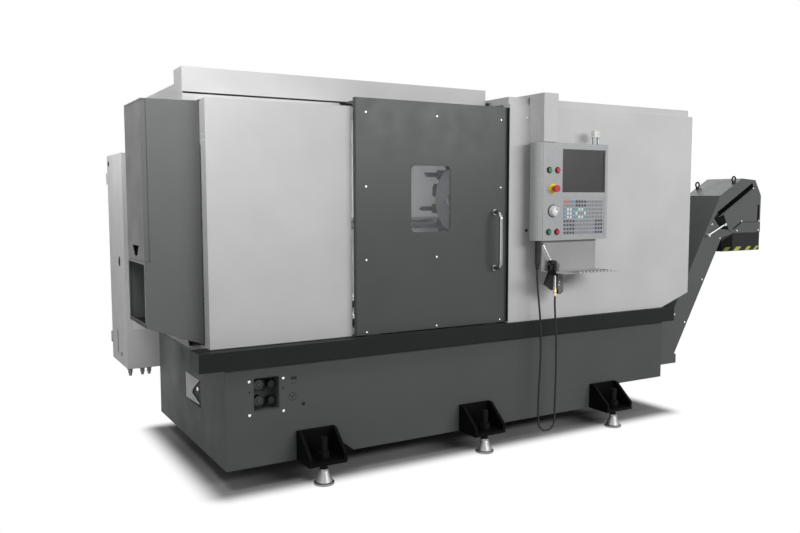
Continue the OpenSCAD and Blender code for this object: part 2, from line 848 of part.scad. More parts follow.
module door_panel() {
    plate_z = slot_z + slot_h / 2 - sheet_t / 2;
    plate_y1 = hood_y + 20;
    plate_inset = 24;
    lip_h = 40;
    shoe_w = 12;
    shoe_len = 80;
    shoe_d = 20 - seat_gap;
    color(dark_paint) {
        difference() {
            block([door_x0, door_y, door_z0], [door_x1, door_y1, door_z1]);
            block([door_x0 + sheet_t, door_y + sheet_t, door_z0 + sheet_t],
                [door_x1 - sheet_t, door_y1 + 1, door_z1 - sheet_t]);
            along_y(door_y - 1, door_y + sheet_t + 1) window_outline(0);
        }
        for (x = [door_x0 + 150, door_x1 - 190])
            block([x, door_y + sheet_t, door_z0 + sheet_t], [x + 40, door_y1 - 6, door_z1 - sheet_t]);
        block([door_x0 + plate_inset, door_y + sheet_t, plate_z],
            [hood_x1 - plate_inset, plate_y1, plate_z + sheet_t]);
        block([door_x0 + plate_inset, plate_y1 - sheet_t, plate_z],
            [hood_x1 - plate_inset, plate_y1, plate_z + lip_h]);
        for (x = [door_x0 + 60, door_x1 - 60 - shoe_len])
            block([x, door_y + door_t / 2 - shoe_w / 2, rail_top - shoe_d],
                [x + shoe_len, door_y + door_t / 2 + shoe_w / 2, door_z0 + sheet_t]);
    }
}

module door_window() {
    lap = 18;
    color([0.55, 0.60, 0.62, 0.45]) along_y(door_y + sheet_t, door_y + sheet_t + pane_t) window_outline(lap);
}

module door_handle() {
    x = door_x1 - 84;
    z0 = door_z0 + 308;
    bend = 40;
    r = handle_d / 2;
    bar_y0 = door_y - handle_off;
    color(bright_steel) translate([x, 0, z0]) {
        translate([0, bar_y0, bend]) cylinder(h = handle_len - 2 * bend, r = r);
        for (end = [0, 1]) translate([0, bar_y0 + bend, end ? handle_len - bend : bend])
            mirror([0, 0, end]) {
                rotate([0, 90, 0]) rotate([0, 0, 180]) mirror([1, 0, 0])
                    rotate_extrude(angle = 90) translate([bend, 0]) circle(r);
                translate([0, 0, -bend]) rotate([-90, 0, 0]) cylinder(h = handle_off - bend, r = r);
                translate([0, handle_off - bend - 6, -bend]) rotate([-90, 0, 0]) cylinder(h = 6, r = r + 5);
            }
    }
}

// Slant bed, headstock and spindle

function slope_z(y, n) = spindle_z + (y - spindle_y) * tan(slant) + n / cos(slant);

module bed_casting() {
    foot_x1 = step_x - base_t - 10;
    low = base_lift + base_step_h + base_t;
    web_t = 60;
    web_pitch = 480;
    color(cast_grey) {
        along_x(bed_x0, bed_x1) polygon([[bed_y0, low], [bed_y1, low],
            [bed_y1, slope_z(bed_y1, way_n)], [bed_y0, slope_z(bed_y0, way_n)]]);
        for (x = [bed_x0 : web_pitch : foot_x1 - web_t])
            block([x, bed_y0, base_lift + base_t], [x + web_t, bed_y1, low + 1]);
    }
}

module rail_outline() {
    w = way_w / 2;
    waist = w - 5.5;
    polygon([[-w, 0], [w, 0], [w, way_h * 0.35], [waist, way_h * 0.48], [waist, way_h * 0.62],
        [w, way_h * 0.76], [w, way_h], [-w, way_h], [-w, way_h * 0.76], [-waist, way_h * 0.62],
        [-waist, way_h * 0.48], [-w, way_h * 0.35]]);
}

module guide_rails() {
    color(bright_steel) on_slant() for (u = concat(carriage_ways, tail_ways))
        translate([0, u, way_n]) along_x(ways_x0, bed_x1) rail_outline();
}

module headstock() {
    bearing_r = spindle_r + 110;
    foot_u = [-230, 300];
    shoulder_n = -20;
    color(cast_grey) on_slant() difference() {
        along_x(head_x0, head_x1) {
            circle(bearing_r);
            polygon([[foot_u[0], way_n], [foot_u[1], way_n],
                [bearing_r, shoulder_n], [-bearing_r, shoulder_n]]);
        }
        bar_x(head_x0 - 1, head_x1 + 1, spindle_r + running_gap);
    }
}

module spindle() {
    rear_x = encl_x0 - 137;
    collar_x = [encl_x0 - 127, encl_x0 - 17];
    nose_r = spindle_r + 30;
    color(bright_steel) on_spindle() difference() {
        union() {
            bar_x(rear_x, nose_x, spindle_r);
            bar_x(collar_x[0], collar_x[1], spindle_r + 22);
            bar_x(nose_x - 22, nose_x, nose_r);
        }
        bar_x(rear_x - 1, nose_x + 1, bar_r);
    }
}

module chuck_body() {
    color(bright_steel) on_spindle() difference() {
        union() {
            bar_x(nose_x, chuck_face - 8, chuck_r);
            bar_x(nose_x, chuck_face, chuck_r - 6);
        }
        bar_x(nose_x - 1, chuck_face + 1, bar_r + 2);
        for (i = [0 : jaw_count - 1]) rotate([i * 360 / jaw_count, 0, 0])
            block([chuck_face - jaw_slot, -jaw_w / 2, bar_r], [chuck_face + 1, jaw_w / 2, chuck_r + 1]);
    }
}

// Stepped top jaw that slides in the chuck's slot
module chuck_jaw(i) {
    w = jaw_w / 2 - slide_gap;
    grip = bar_r + 14;
    color([0.35, 0.35, 0.36]) on_spindle() rotate([i * 360 / jaw_count, 0, 0]) {
        block([chuck_face - jaw_slot + slide_gap, -w, grip], [chuck_face + 4, w, chuck_r - 10]);
        block([chuck_face + slide_gap, -w - 6, grip], [chuck_face + jaw_len, w + 6, grip + 26]);
        block([chuck_face + slide_gap, -w - 6, grip], [chuck_face + jaw_len * 0.55, w + 6, chuck_r - 8]);
    }
}

module chuck_jaw_1() {
    chuck_jaw(0);
}

module chuck_jaw_2() {
    chuck_jaw(1);
}

module chuck_jaw_3() {
    chuck_jaw(2);
}

// Carriage: saddle along the bed, cross slide up the slope, turret head square out of it

module way_slot(x0, x1, u) {
    block([x0 - 1, u - way_w / 2 - slide_gap, way_n - 1],
        [x1 + 1, u + way_w / 2 + slide_gap, way_top + slide_gap]);
}

module way_carriages(x0, x1, ways, top) {
    for (u = ways) block([x0, u - carriage_w / 2, way_n + 10], [x1, u + carriage_w / 2, top]);
}

module saddle() {
    color(cast_grey) on_slant() {
        difference() {
            union() {
                way_carriages(saddle_x0, saddle_x1, carriage_ways, saddle_n0 + 1);
                block([saddle_x0, saddle_u0, saddle_n0], [saddle_x1, saddle_u1, saddle_n1]);
            }
            for (u = carriage_ways) way_slot(saddle_x0, saddle_x1, u);
        }
        for (x = [saddle_x0 + cross_inset, saddle_x1 - cross_inset])
            block([x - cross_w / 2, saddle_u0, saddle_n1], [x + cross_w / 2, saddle_u1, saddle_n1 + cross_h]);
    }
}

module cross_slide() {
    u0 = turret_u - cross_len / 2;
    u1 = turret_u + cross_len / 2;
    block_n0 = saddle_n1 + 6;
    wall_u = head_half + 15;
    color(cast_grey) on_slant() {
        difference() {
            union() {
                block([saddle_x0 + 10, u0, cross_n0], [saddle_x1 - 10, u1, cross_n1]);
                for (x = [saddle_x0 + cross_inset, saddle_x1 - cross_inset])
                    block([x - 45, u0, block_n0], [x + 45, u1, cross_n0 + 1]);
            }
            for (x = [saddle_x0 + cross_inset, saddle_x1 - cross_inset])
                block([x - cross_w / 2 - slide_gap, u0 - 1, block_n0 - 1],
                    [x + cross_w / 2 + slide_gap, u1 + 1, saddle_n1 + cross_h + slide_gap]);
        }
        block([upright_x0, turret_u - wall_u, cross_n1], [saddle_x1 - 10, turret_u + wall_u, head_half + 10]);
        for (u = [turret_u - y_way_off, turret_u + y_way_off])
            block([upright_x0 - y_way_h, u - y_way_w / 2, cross_n1 + 30],
                [upright_x0, u + y_way_w / 2, head_half + 10]);
    }
}

module turret_head() {
    shoe_w = 60;
    body_x1 = upright_x0 - y_way_h - 10;
    flange_x = turret_x + disc_t;
    color(cast_grey) on_turret() difference() {
        union() {
            along_x(flange_x + 14, body_x1) translate([-head_half, -head_drop])
                round_rect(2 * head_half, head_half + head_drop, 50);
            bar_x(flange_x, flange_x + 15, disc_r * 0.6);
            for (u = [-y_way_off, y_way_off])
                block([body_x1 - 1, u - shoe_w / 2, 30 - head_drop],
                    [upright_x0 - 3, u + shoe_w / 2, head_half - 30]);
        }
        for (u = [-y_way_off, y_way_off])
            block([upright_x0 - y_way_h - slide_gap, u - y_way_w / 2 - slide_gap, -head_drop],
                [upright_x0, u + y_way_w / 2 + slide_gap, head_half]);
        bar_x(flange_x - 1, flange_x + 90, pivot_r + running_gap);
    }
}

module turret_disc() {
    hub_r = disc_r * 0.42;
    bolts = 6;
    back = turret_x + disc_t - seat_gap;
    color([0.55, 0.56, 0.60]) on_turret() difference() {
        union() {
            rotate([180 / stations, 0, 0]) translate([turret_x, 0, 0]) rotate([0, 90, 0])
                cylinder(h = back - turret_x, r = disc_r, $fn = stations);
            bar_x(turret_x - 18, turret_x + 1, hub_r);
            bar_x(back - 1, back + 80, pivot_r);
        }
        bar_x(turret_x - 19, turret_x - 6, hub_r * 0.45);
        for (i = [0 : bolts - 1]) rotate([i * 360 / bolts, 0, 0]) translate([0, hub_r * 0.75, 0])
            bar_x(turret_x - 19, turret_x - 8, 8);
    }
}

// Repeats its children at every other station, starting with the given one; Z points outwards
module at_stations(first) {
    for (i = [first : 2 : stations - 1]) rotate([i * 360 / stations, 0, 0]) children();
}

// Turning holders, stepped and held by four screws, and boring-bar holders with a round sleeve
module tool_blocks() {
    step_r = flat_r + block_h * 0.45;
    step_x1 = block_x + block_len * 0.62;
    pad_r = flat_r + block_h * 0.3;
    sleeve_r = flat_r + block_h * 0.5;
    chamfer = 8;
    screw_r = 7;
    screw_d = 8;
    screw_x = [step_x1 + 10, block_x + block_len - 12];
    screw_y = block_w / 2 - 14;
    color([0.12, 0.12, 0.13]) on_turret() {
        at_stations(0) difference() {
            union() {
                block([block_x, -block_w / 2, flat_r], [block_x + block_len, block_w / 2, step_r]);
                along_x(block_x, step_x1) polygon([[-block_w / 2, step_r - 1], [block_w / 2, step_r - 1],
                    [block_w / 2, flat_r + block_h - chamfer], [block_w / 2 - chamfer, flat_r + block_h],
                    [chamfer - block_w / 2, flat_r + block_h], [-block_w / 2, flat_r + block_h - chamfer]]);
            }
            for (x = screw_x, y = [-screw_y, screw_y]) translate([x, y, step_r - screw_d])
                cylinder(h = screw_d + 1, r = screw_r);
        }
        at_stations(1) {
            block([block_x, -block_w / 2, flat_r], [block_x + block_len, block_w / 2, pad_r]);
            translate([0, 0, sleeve_r]) bar_x(block_x - 12, block_x + block_len, block_h * 0.5);
        }
    }
}

module cutting_tools() {
    shank = 25;
    bar_tool_r = 15;
    color(bright_steel) on_turret() {
        at_stations(0) translate([block_x + 24, 0, flat_r + block_h]) {
            block([0, -shank / 2, 0], [shank, shank / 2, tool_reach - 8]);
            block([-6, -shank / 2, tool_reach - 18], [10, shank / 2, tool_reach]);
        }
        at_stations(1) translate([0, 0, flat_r + block_h * 0.5]) {
            bar_x(block_x - bar_reach, block_x - 12, bar_tool_r);
            block([block_x - bar_reach - 8, -6, 0], [block_x - bar_reach, 6, bar_tool_r + 4]);
        }
    }
}

// Tailstock

module tailstock() {
    face = tail_tip + tail_nose;
    rear = face + tail_len;
    base_n1 = way_top + 75;
    color(cast_grey) on_slant() difference() {
        union() {
            way_carriages(face, rear, tail_ways, base_n1);
            block([face, tail_ways[0] - 55, way_top + 25], [rear, tail_ways[1] + 52, base_n1]);
            along_x(face, rear) {
                circle(tail_r);
                polygon([[tail_ways[0] - 30, base_n1 - 1], [tail_ways[1] + 40, base_n1 - 1],
                    [tail_r, -12], [-tail_r, -12]]);
            }
            bar_x(tail_tip + quill_out, face + 1, quill_r);
        }
        for (u = tail_ways) way_slot(face, rear, u);
        bar_x(tail_tip + quill_out - 1, tail_tip + quill_out + shank_len + 5, shank_r + running_gap);
    }
}

module live_center() {
    body_x = tail_tip + quill_out - seat_gap;
    shank_x = tail_tip + quill_out + shank_len;
    color(bright_steel) on_spindle() rotate([0, 90, 0]) rotate_extrude()
        polygon([[0, tail_tip], [1, tail_tip], [shank_r - 4, tail_tip + 32], [shank_r + 10, tail_tip + 36],
            [shank_r + 10, body_x], [shank_r, body_x], [shank_r, shank_x], [0, shank_x]]);
}

// Pendant

module pendant_arm() {
    color(white_paint) {
        block([arm_x0, -arm_out, arm_bottom], [arm_x1, 0, arm_top]);
        block([arm_x0, -1, cap_top], [arm_x1, arm_rear, arm_top]);
        translate([pivot_x, column_y, pendant_top - pend_pin_len])
            cylinder(h = pend_pin_len + 5, r = pend_pin_r);
        translate([pivot_x, column_y, pendant_top + seat_gap])
            cylinder(h = arm_bottom - pendant_top, r = pend_pin_r + 2);
    }
}

// Bore for a push button's stem, and the raised ring round the button
module button_bore(x, z) {
    bar_y(x, z, pendant_y - 10, pendant_y + stem_len + button_travel + 2, stem_r + running_gap);
}

module button_ring(x, z, r) {
    difference() {
        bar_y(x, z, pendant_y - 4, pendant_y + 1, r + 5);
        bar_y(x, z, pendant_y - 5, pendant_y, r + 1);
    }
}

module pendant_housing() {
    bevel = [24, 12];
    pendant_y1 = pendant_y + pendant_d;
    color([0.72, 0.72, 0.71]) difference() {
        union() {
            translate([column_x, column_y, pendant_z]) cylinder(h = pendant_h, r = column_r);
            translate([0, 0, pendant_z]) linear_extrude(pendant_h)
                polygon([[column_x, pendant_y], [pendant_x1 - bevel.x, pendant_y],
                    [pendant_x1, pendant_y + bevel.y], [pendant_x1, pendant_y1], [column_x, pendant_y1]]);
            for (x = button_x, z = [power_z, cycle_z]) button_ring(x, z, button_r);
            bar_y(stop_x, stop_z, pendant_y - 3, pendant_y + 1, stop_r + 8);
        }
        block([screen_x, pendant_y - 1, screen_z],
            [screen_x + screen_w, pendant_y + face_recess, screen_z + screen_h]);
        block([pad_x, pendant_y - 1, keypad_z],
            [pad_x + keypad_w, pendant_y + face_recess, keypad_z + keypad_h]);
        for (x = button_x, z = [power_z, cycle_z]) button_bore(x, z);
        button_bore(stop_x, stop_z);
        button_bore(stop_x, jog_z);
        translate([pivot_x, column_y, pendant_top - pend_pin_len - 1])
            cylinder(h = pend_pin_len + 2, r = pend_pin_r + running_gap);
        translate([column_x, column_y, pendant_z - 1]) rotate([0, 0, -105.5])
            translate([column_r - 2, -1.5, 0]) cube([4, 3, pendant_h + 2]);
    }
}

module pendant_screen() {
    bezel = 14;
    color([0.20, 0.20, 0.21]) difference() {
        block([screen_x, pendant_y, screen_z],
            [screen_x + screen_w, pendant_y + face_recess, screen_z + screen_h]);
        block([screen_x + bezel, pendant_y - 1, screen_z + bezel],
            [screen_x + screen_w - bezel, pendant_y + 2, screen_z + screen_h - bezel]);
    }
}

module keypad() {
    key_gap = 4;
    margin = 8;
    sheet_y = pendant_y + 2;
    pitch = [(keypad_w - 2 * margin) / key_cols, (keypad_h - 2 * margin) / key_rows];
    key = [pitch[0] - key_gap, sheet_y + 1 - pendant_y, pitch[1] - key_gap];
    color([0.62, 0.64, 0.66]) {
        block([pad_x, sheet_y, keypad_z], [pad_x + keypad_w, pendant_y + face_recess, keypad_z + keypad_h]);
        for (c = [0 : key_cols - 1], r = [0 : key_rows - 1])
            translate([pad_x + margin + key_gap / 2 + c * pitch[0], pendant_y,
                keypad_z + margin + key_gap / 2 + r * pitch[1]]) cube(key);
    }
}

// Push button: domed cap and a stem in the housing's bore
module push_button(x, z, r, cap_h, standoff) {
    bar_y(x, z, pendant_y - standoff - cap_h, pendant_y - standoff, r);
    bar_y(x, z, pendant_y - standoff - 1, pendant_y + stem_len, stem_r);
}

module e_stop_button() {
    color("firebrick") push_button(stop_x, stop_z, stop_r, 16, button_travel + 18);
}

module power_on_button() {
    color("seagreen") push_button(button_x[0], power_z, button_r, 6, button_travel + 1);
}

module power_off_button() {
    color("firebrick") push_button(button_x[1], power_z, button_r, 6, button_travel + 1);
}

module cycle_start_button() {
    color("seagreen") push_button(button_x[0], cycle_z, button_r, 6, button_travel + 1);
}

module feed_hold_button() {
    color("firebrick") push_button(button_x[1], cycle_z, button_r, 6, button_travel + 1);
}

module jog_dial() {
    dial_y = pendant_y - seat_gap;
    grip = [stop_x + jog_r * 0.5, jog_z + jog_r * 0.4];
    color([0.86, 0.86, 0.85]) {
        bar_y(stop_x, jog_z, dial_y - 10, dial_y, jog_r);
        bar_y(stop_x, jog_z, dial_y - 20, dial_y - 9, jog_r - 6);
        bar_y(grip[0], grip[1], dial_y - 30, dial_y - 19, 6);
        bar_y(stop_x, jog_z, dial_y - 1, pendant_y + stem_len, stem_r);
    }
}

module beacon() {
    post_r = 6.5;
    post_h = 42;
    post_off = 18;
    lens = [50, 34, 38];
    lens_r = 12;
    lens_x = pendant_x1 - 62;
    color([0.90, 0.90, 0.88]) {
        for (x = [lens_x - post_off, lens_x + post_off]) translate([x, column_y, pendant_top])
            cylinder(h = post_h + 1, r = post_r);
        translate([lens_x - lens.x / 2, column_y - lens.y / 2, pendant_top + post_h])
            linear_extrude(lens.z) round_rect(lens.x, lens.y, lens_r);
    }
}

module tool_tray() {
    slots = 11;
    slot_len = 90;
    slot_w = 16;
    slot_edge = 10;
    slot_x = tray_x0 + 100;
    slot_pitch = (tray_x1 - slot_x - slot_edge) / slots;
    flange = 30;
    color(grey_paint) {
        block([tray_x0, tray_y1 - tray_t, tray_z], [tray_x1, tray_y1, pendant_z]);
        block([tray_x0, tray_y1 - tray_t, pendant_z - tray_t], [tray_x1, tray_y1 + flange, pendant_z]);
        difference() {
            block([tray_x0, tray_y0, tray_z], [tray_x1, tray_y1, tray_z + tray_t]);
            for (i = [0 : slots - 1]) translate([slot_x + i * slot_pitch, tray_y0 + slot_edge, tray_z - 1])
                linear_extrude(tray_t + 2) round_rect(slot_w, slot_len, slot_w / 2 - 0.5);
            translate([0, gun_foot.y, tray_z - 1]) {
                translate([gun_foot.x, 0, 0]) cylinder(h = tray_t + 2, r = gun_notch_r);
                block([tray_x0 - 1, -gun_notch_r, 0], [gun_foot.x, gun_notch_r, tray_t + 2]);
            }
        }
    }
}

// Air gun and hose

module on_gun() {
    translate(gun_foot) children();
}

module air_gun() {
    head = [[-20, gun_seat], [14, gun_seat], [18, gun_seat + 36], [-8, gun_seat + 60], [-36, gun_seat + 64],
        [-44, gun_seat + 46], [-20, gun_seat + 40]];
    guard = [[4, 128], [30, 122], [44, 112], [54, 26], [35, 10], [17, 12], [4, 60]];
    color([0.15, 0.15, 0.15]) on_gun() difference() {
        union() {
            cylinder(h = 14, r = 9, $fn = 6);
            translate([0, 0, 13]) cylinder(h = 32, r = 8);
            translate([0, 0, 44]) cylinder(h = gun_seat - 43, r = 6);
            along_y(-9, 9) polygon(guard);
            along_y(-15, 15) polygon(head);
            for (y = [-9, 5]) block([-48, y, gun_seat + 10], [-18, y + 4, gun_seat + 38]);
            translate([-30, 0, gun_seat + 54]) rotate([0, -32, 0]) cylinder(h = 122, r = 4);
        }
        translate([lever_pin[0], -20, lever_pin[1]]) rotate([-90, 0, 0]) cylinder(h = 40, r = 3 + running_gap);
    }
}

// Trigger that swings on its pin between the gun's two ears, with a broad finger plate below them
module gun_lever() {
    pin_half = 9;
    arm_half = 4;
    plate_half = 8;
    color([0.16, 0.16, 0.16]) on_gun() {
        bar_y(lever_pin[0], lever_pin[1], -pin_half, pin_half, 3);
        bar_y(lever_pin[0], lever_pin[1], -arm_half, arm_half, 6);
        along_y(-arm_half, arm_half) polygon([[-43, 120], [-33, 120], [-33, lever_pin[1]], [-43, lever_pin[1]]]);
        along_y(-plate_half, plate_half) polygon([[-46, 140], [-79, 69], [-28, 35], [-20, 41], [-20, 128], [-32, 140]]);
    }
}

module strain_relief() {
    taper = 38;
    sleeve_r = 13.5;
    color([0.08, 0.08, 0.08]) translate(hose_points[0]) {
        cylinder(h = taper, r1 = hose_d / 2 + 2, r2 = sleeve_r);
        translate([0, 0, taper - 1]) cylinder(h = pendant_z - hose_points[0].z - taper + 1, r = sleeve_r);
    }
}

// Points of a smooth curve through the route, then rings square to it
function curve_point(p, i, t) =
    let (a = p[max(i - 1, 0)], b = p[i], c = p[i + 1], d = p[min(i + 2, len(p) - 1)])
    0.5 * (2 * b + (c - a) * t + (2 * a - 5 * b + 4 * c - d) * t * t + (3 * b - a - 3 * c + d) * t * t * t);

module tube(route, r, sides, steps) {
    path = concat([for (i = [0 : len(route) - 2], k = [0 : steps - 1]) curve_point(route, i, k / steps)],
        [route[len(route) - 1]]);
    last = len(path) - 1;
    points = [for (i = [0 : last])
        let (along = unit(path[min(i + 1, last)] - path[max(i - 1, 0)]),
             side = unit(cross([0, 1, 0], along)), up = cross(along, side))
        for (k = [0 : sides - 1]) path[i] + r * (cos(k * 360 / sides) * side + sin(k * 360 / sides) * up)];
    walls = [for (i = [0 : last - 1], k = [0 : sides - 1])
        let (n = (k + 1) % sides)
        [i * sides + k, (i + 1) * sides + k, (i + 1) * sides + n, i * sides + n]];
    caps = [[for (k = [0 : sides - 1]) k], [for (k = [sides - 1 : -1 : 0]) last * sides + k]];
    polyhedron(points, concat(walls, caps));
}

module air_hose() {
    color([0.06, 0.06, 0.06]) tube(hose_points, hose_d / 2, hose_sides, hose_steps);
}

// Chip conveyor

module conveyor_housing() {
    back_low = base_top - 137;
    slot_len = 420;
    slot_w = 38;
    slot_rise = 29;
    slot_from = [conv_b.x - 9, conv_b.y - 147];
    strip_y = 30;
    plate_t = 4;
    skirt_z = chute_top + 73;
    plate = [[conv_b.x + 142, chute_top + 4], [head_end - 4, chute_top + 4], [head_end - 2, conv_b.y - 6],
        [head_end - 68, conv_b.y + 57], [conv_b.x + 40, conv_b.y - 130], [conv_b.x + 98, chute_top + 22]];
    skirt = [plate[0], plate[1], [head_end - 4, skirt_z], [conv_b.x + 226, skirt_z]];
    color(conv_paint) {
        for (side = [0, 1]) translate([0, side ? conv_y1 - 1 : conv_y + 1 - plate_t, 0]) {
            along_y(0, plate_t) polygon(plate);
            translate([0, side ? plate_t - 1 : -2, 0]) along_y(0, 3) polygon(skirt);
        }
        difference() {
            along_y(conv_y, conv_y1) polygon(conv_profile);
            along_y(conv_y + conv_t, conv_y1 - conv_t) polygon(inset(conv_profile, conv_t));
            block([trough_x0 + conv_t, conv_y + conv_t, base_top - conv_t - 1],
                [base_w - base_t - 10, conv_y1 - conv_t, base_top + 1]);
            block([trough_x0 - 1, conv_y1 - conv_t - 1, back_low],
                [base_w - base_t - 10, conv_y1 + 1, base_top + 1]);
            block([under_x(lip_z) + 119, conv_y + conv_t, chute_top - 1],
                [head_end - 8, conv_y1 - conv_t, chute_top + conv_t + 1]);
            translate([slot_from.x, conv_y - 1, slot_from.y]) rotate([0, -slot_rise, 0])
                cube([slot_len, conv_t + 2, slot_w]);
        }
        for (y = [conv_y + strip_y, conv_y1 - strip_y - strip_w])
            block([trough_x0 + conv_t, y, conv_z + conv_t - 1], [base_w, y + strip_w, belt_z - seat_gap]);
    }
}

module conveyor_belt() {
    links = floor((base_w - trough_x0 - 40) / link_pitch);
    knuckle_r = 6;
    cleat_every = 6;
    cleat_h = 35;
    y0 = conv_y + conv_t + 3;
    y1 = conv_y1 - conv_t - 3;
    first_x = trough_x0 + 20;
    color([0.42, 0.42, 0.43]) for (i = [0 : links - 1]) translate([first_x + i * link_pitch, 0, belt_z]) {
        block([0, y0, 0], [link_pitch, y1, belt_t]);
        bar_y(link_pitch / 2, belt_t, y0, y1, knuckle_r - 2);
        if (i % cleat_every == 2) block([8, y0, belt_t - 1], [14, y1, cleat_h]);
    }
}

module discharge_chute() {
    chute_t = 3;
    inner = inset(chute_profile, chute_t);
    color(black_paint) difference() {
        along_y(conv_y, conv_y1) polygon(chute_profile);
        along_y(conv_y + chute_t, conv_y1 - chute_t) polygon(inner);
        block([inner[0].x, conv_y + chute_t, chute_top - chute_h - 1],
            [inner[1].x, conv_y1 - chute_t, chute_top - chute_h + chute_t + 1]);
        block([under_x(lip_z) + 119, conv_y + chute_t, chute_top - chute_t - 1],
            [inner[1].x, conv_y1 - chute_t, chute_top + 1]);
    }
}

module torque_rod() {
    from = [conv_b.x - 136, conv_b.y - 269];
    rod_len = 178;
    rod_r = 5;
    rise = 23;
    color(bright_steel) translate([from.x, conv_y - 22, from.y]) rotate([0, -rise, 0]) {
        bar_x(0, rod_len, rod_r);
        for (x = [0, rod_len]) translate([x, 0, 0]) {
            bar_y(0, 0, -7, 22, 7);
            bar_y(0, 0, -9, 9, 10);
        }
    }
}

place() bed_casting();
place() base_skirt();
place() front_rail();
place() left_front_panel();
place() right_front_panel();
place() left_wall();
place() right_wall();
place() rear_wall();
place() roof();
place() track_hood();
place() end_cover();
place() headstock_guard();
place() foot_brackets();
place() leveling_screws();
place() leveling_pads();
place() hydraulic_pocket();
place() pressure_gauges();
place() electrical_cabinet();
place() cable_glands();
place() pendant_arm();
place() headstock();
place() guide_rails();
place() conveyor_housing();
place() conveyor_belt();
place() discharge_chute();
place() torque_rod();
place() pressure_knob_upper();
place() pressure_knob_lower();
place() cabinet_door();
place() door_panel();
place() door_window();
place() door_handle();
place() spindle();
place() chuck_body();
place() chuck_jaw_1();
place() chuck_jaw_2();
place() chuck_jaw_3();
place() saddle();
place() cross_slide();
place() turret_head();
place() turret_disc();
place() tool_blocks();
place() cutting_tools();
place() tailstock();
place() live_center();
place() pendant_housing();
place() pendant_screen();
place() keypad();
place() e_stop_button();
place() power_on_button();
place() power_off_button();
place() cycle_start_button();
place() feed_hold_button();
place() jog_dial();
place() beacon();
place() tool_tray();
place() air_gun();
place() gun_lever();
place() strain_relief();
place() air_hose();
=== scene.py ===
"""Looks of the turning lathe: finishes for every part, small hardware, keys, signs, hose and studio."""
import math
import bmesh
import bpy
from mathutils import Matrix, Vector


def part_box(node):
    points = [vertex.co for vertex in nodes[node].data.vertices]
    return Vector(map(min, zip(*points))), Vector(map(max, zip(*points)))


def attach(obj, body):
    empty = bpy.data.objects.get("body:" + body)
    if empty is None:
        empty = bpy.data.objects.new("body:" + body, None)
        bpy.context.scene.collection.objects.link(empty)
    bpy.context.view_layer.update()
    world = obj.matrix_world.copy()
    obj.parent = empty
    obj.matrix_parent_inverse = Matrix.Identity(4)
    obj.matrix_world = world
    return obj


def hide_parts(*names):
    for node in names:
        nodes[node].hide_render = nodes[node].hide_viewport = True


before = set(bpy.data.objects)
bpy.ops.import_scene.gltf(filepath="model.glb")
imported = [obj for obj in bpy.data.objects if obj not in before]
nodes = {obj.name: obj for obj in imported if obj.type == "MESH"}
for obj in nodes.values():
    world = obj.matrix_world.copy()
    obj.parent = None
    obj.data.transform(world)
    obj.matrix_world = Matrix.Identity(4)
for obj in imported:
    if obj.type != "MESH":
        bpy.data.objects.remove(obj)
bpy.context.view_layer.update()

MM = 0.001

# The frame's origin on the machine, in millimetres from the base's front left corner
ORIGIN = Vector((1855.25, 793.5, 0))


def at(x, y, z):
    """Point of the machine, from its millimetres to the frame's metres."""
    return (Vector((x, y, z)) - ORIGIN) * MM


# Camera, at the photograph's place and angle

EYE = at(-1111, -3516, 1370)
EYE_RIGHT = Vector((0.86408, -0.50334, -0.00218))
EYE_UP = Vector((0.04453, 0.07214, 0.99640))
SENSOR_WIDTH = 36
FOCAL_LENGTH = 35.72
CLIP_END = 100


def make_camera():
    data = bpy.data.cameras.new("camera")
    data.sensor_width = SENSOR_WIDTH
    data.lens = FOCAL_LENGTH
    data.clip_end = CLIP_END
    camera = bpy.data.objects.new("camera", data)
    rows = zip(EYE_RIGHT, EYE_UP, EYE_RIGHT.cross(EYE_UP), EYE)
    camera.matrix_world = Matrix([*rows, (0, 0, 0, 1)])
    bpy.context.scene.collection.objects.link(camera)
    bpy.context.scene.camera = camera


make_camera()


# Materials

# Levels between which most of a noise texture lies
NOISE_LOW, NOISE_HIGH = 0.3, 0.7


def srgb(*levels):
    """Linear colour of an 8-bit screen colour."""
    def linear(level):
        v = level / 255
        return v / 12.92 if v <= 0.04045 else ((v + 0.055) / 1.055) ** 2.4
    return tuple(linear(v) for v in levels) + (1,)


def shade(colour, factor):
    """Lighter or darker version of a colour."""
    return tuple(min(1, c * factor) for c in colour[:3]) + (1,)


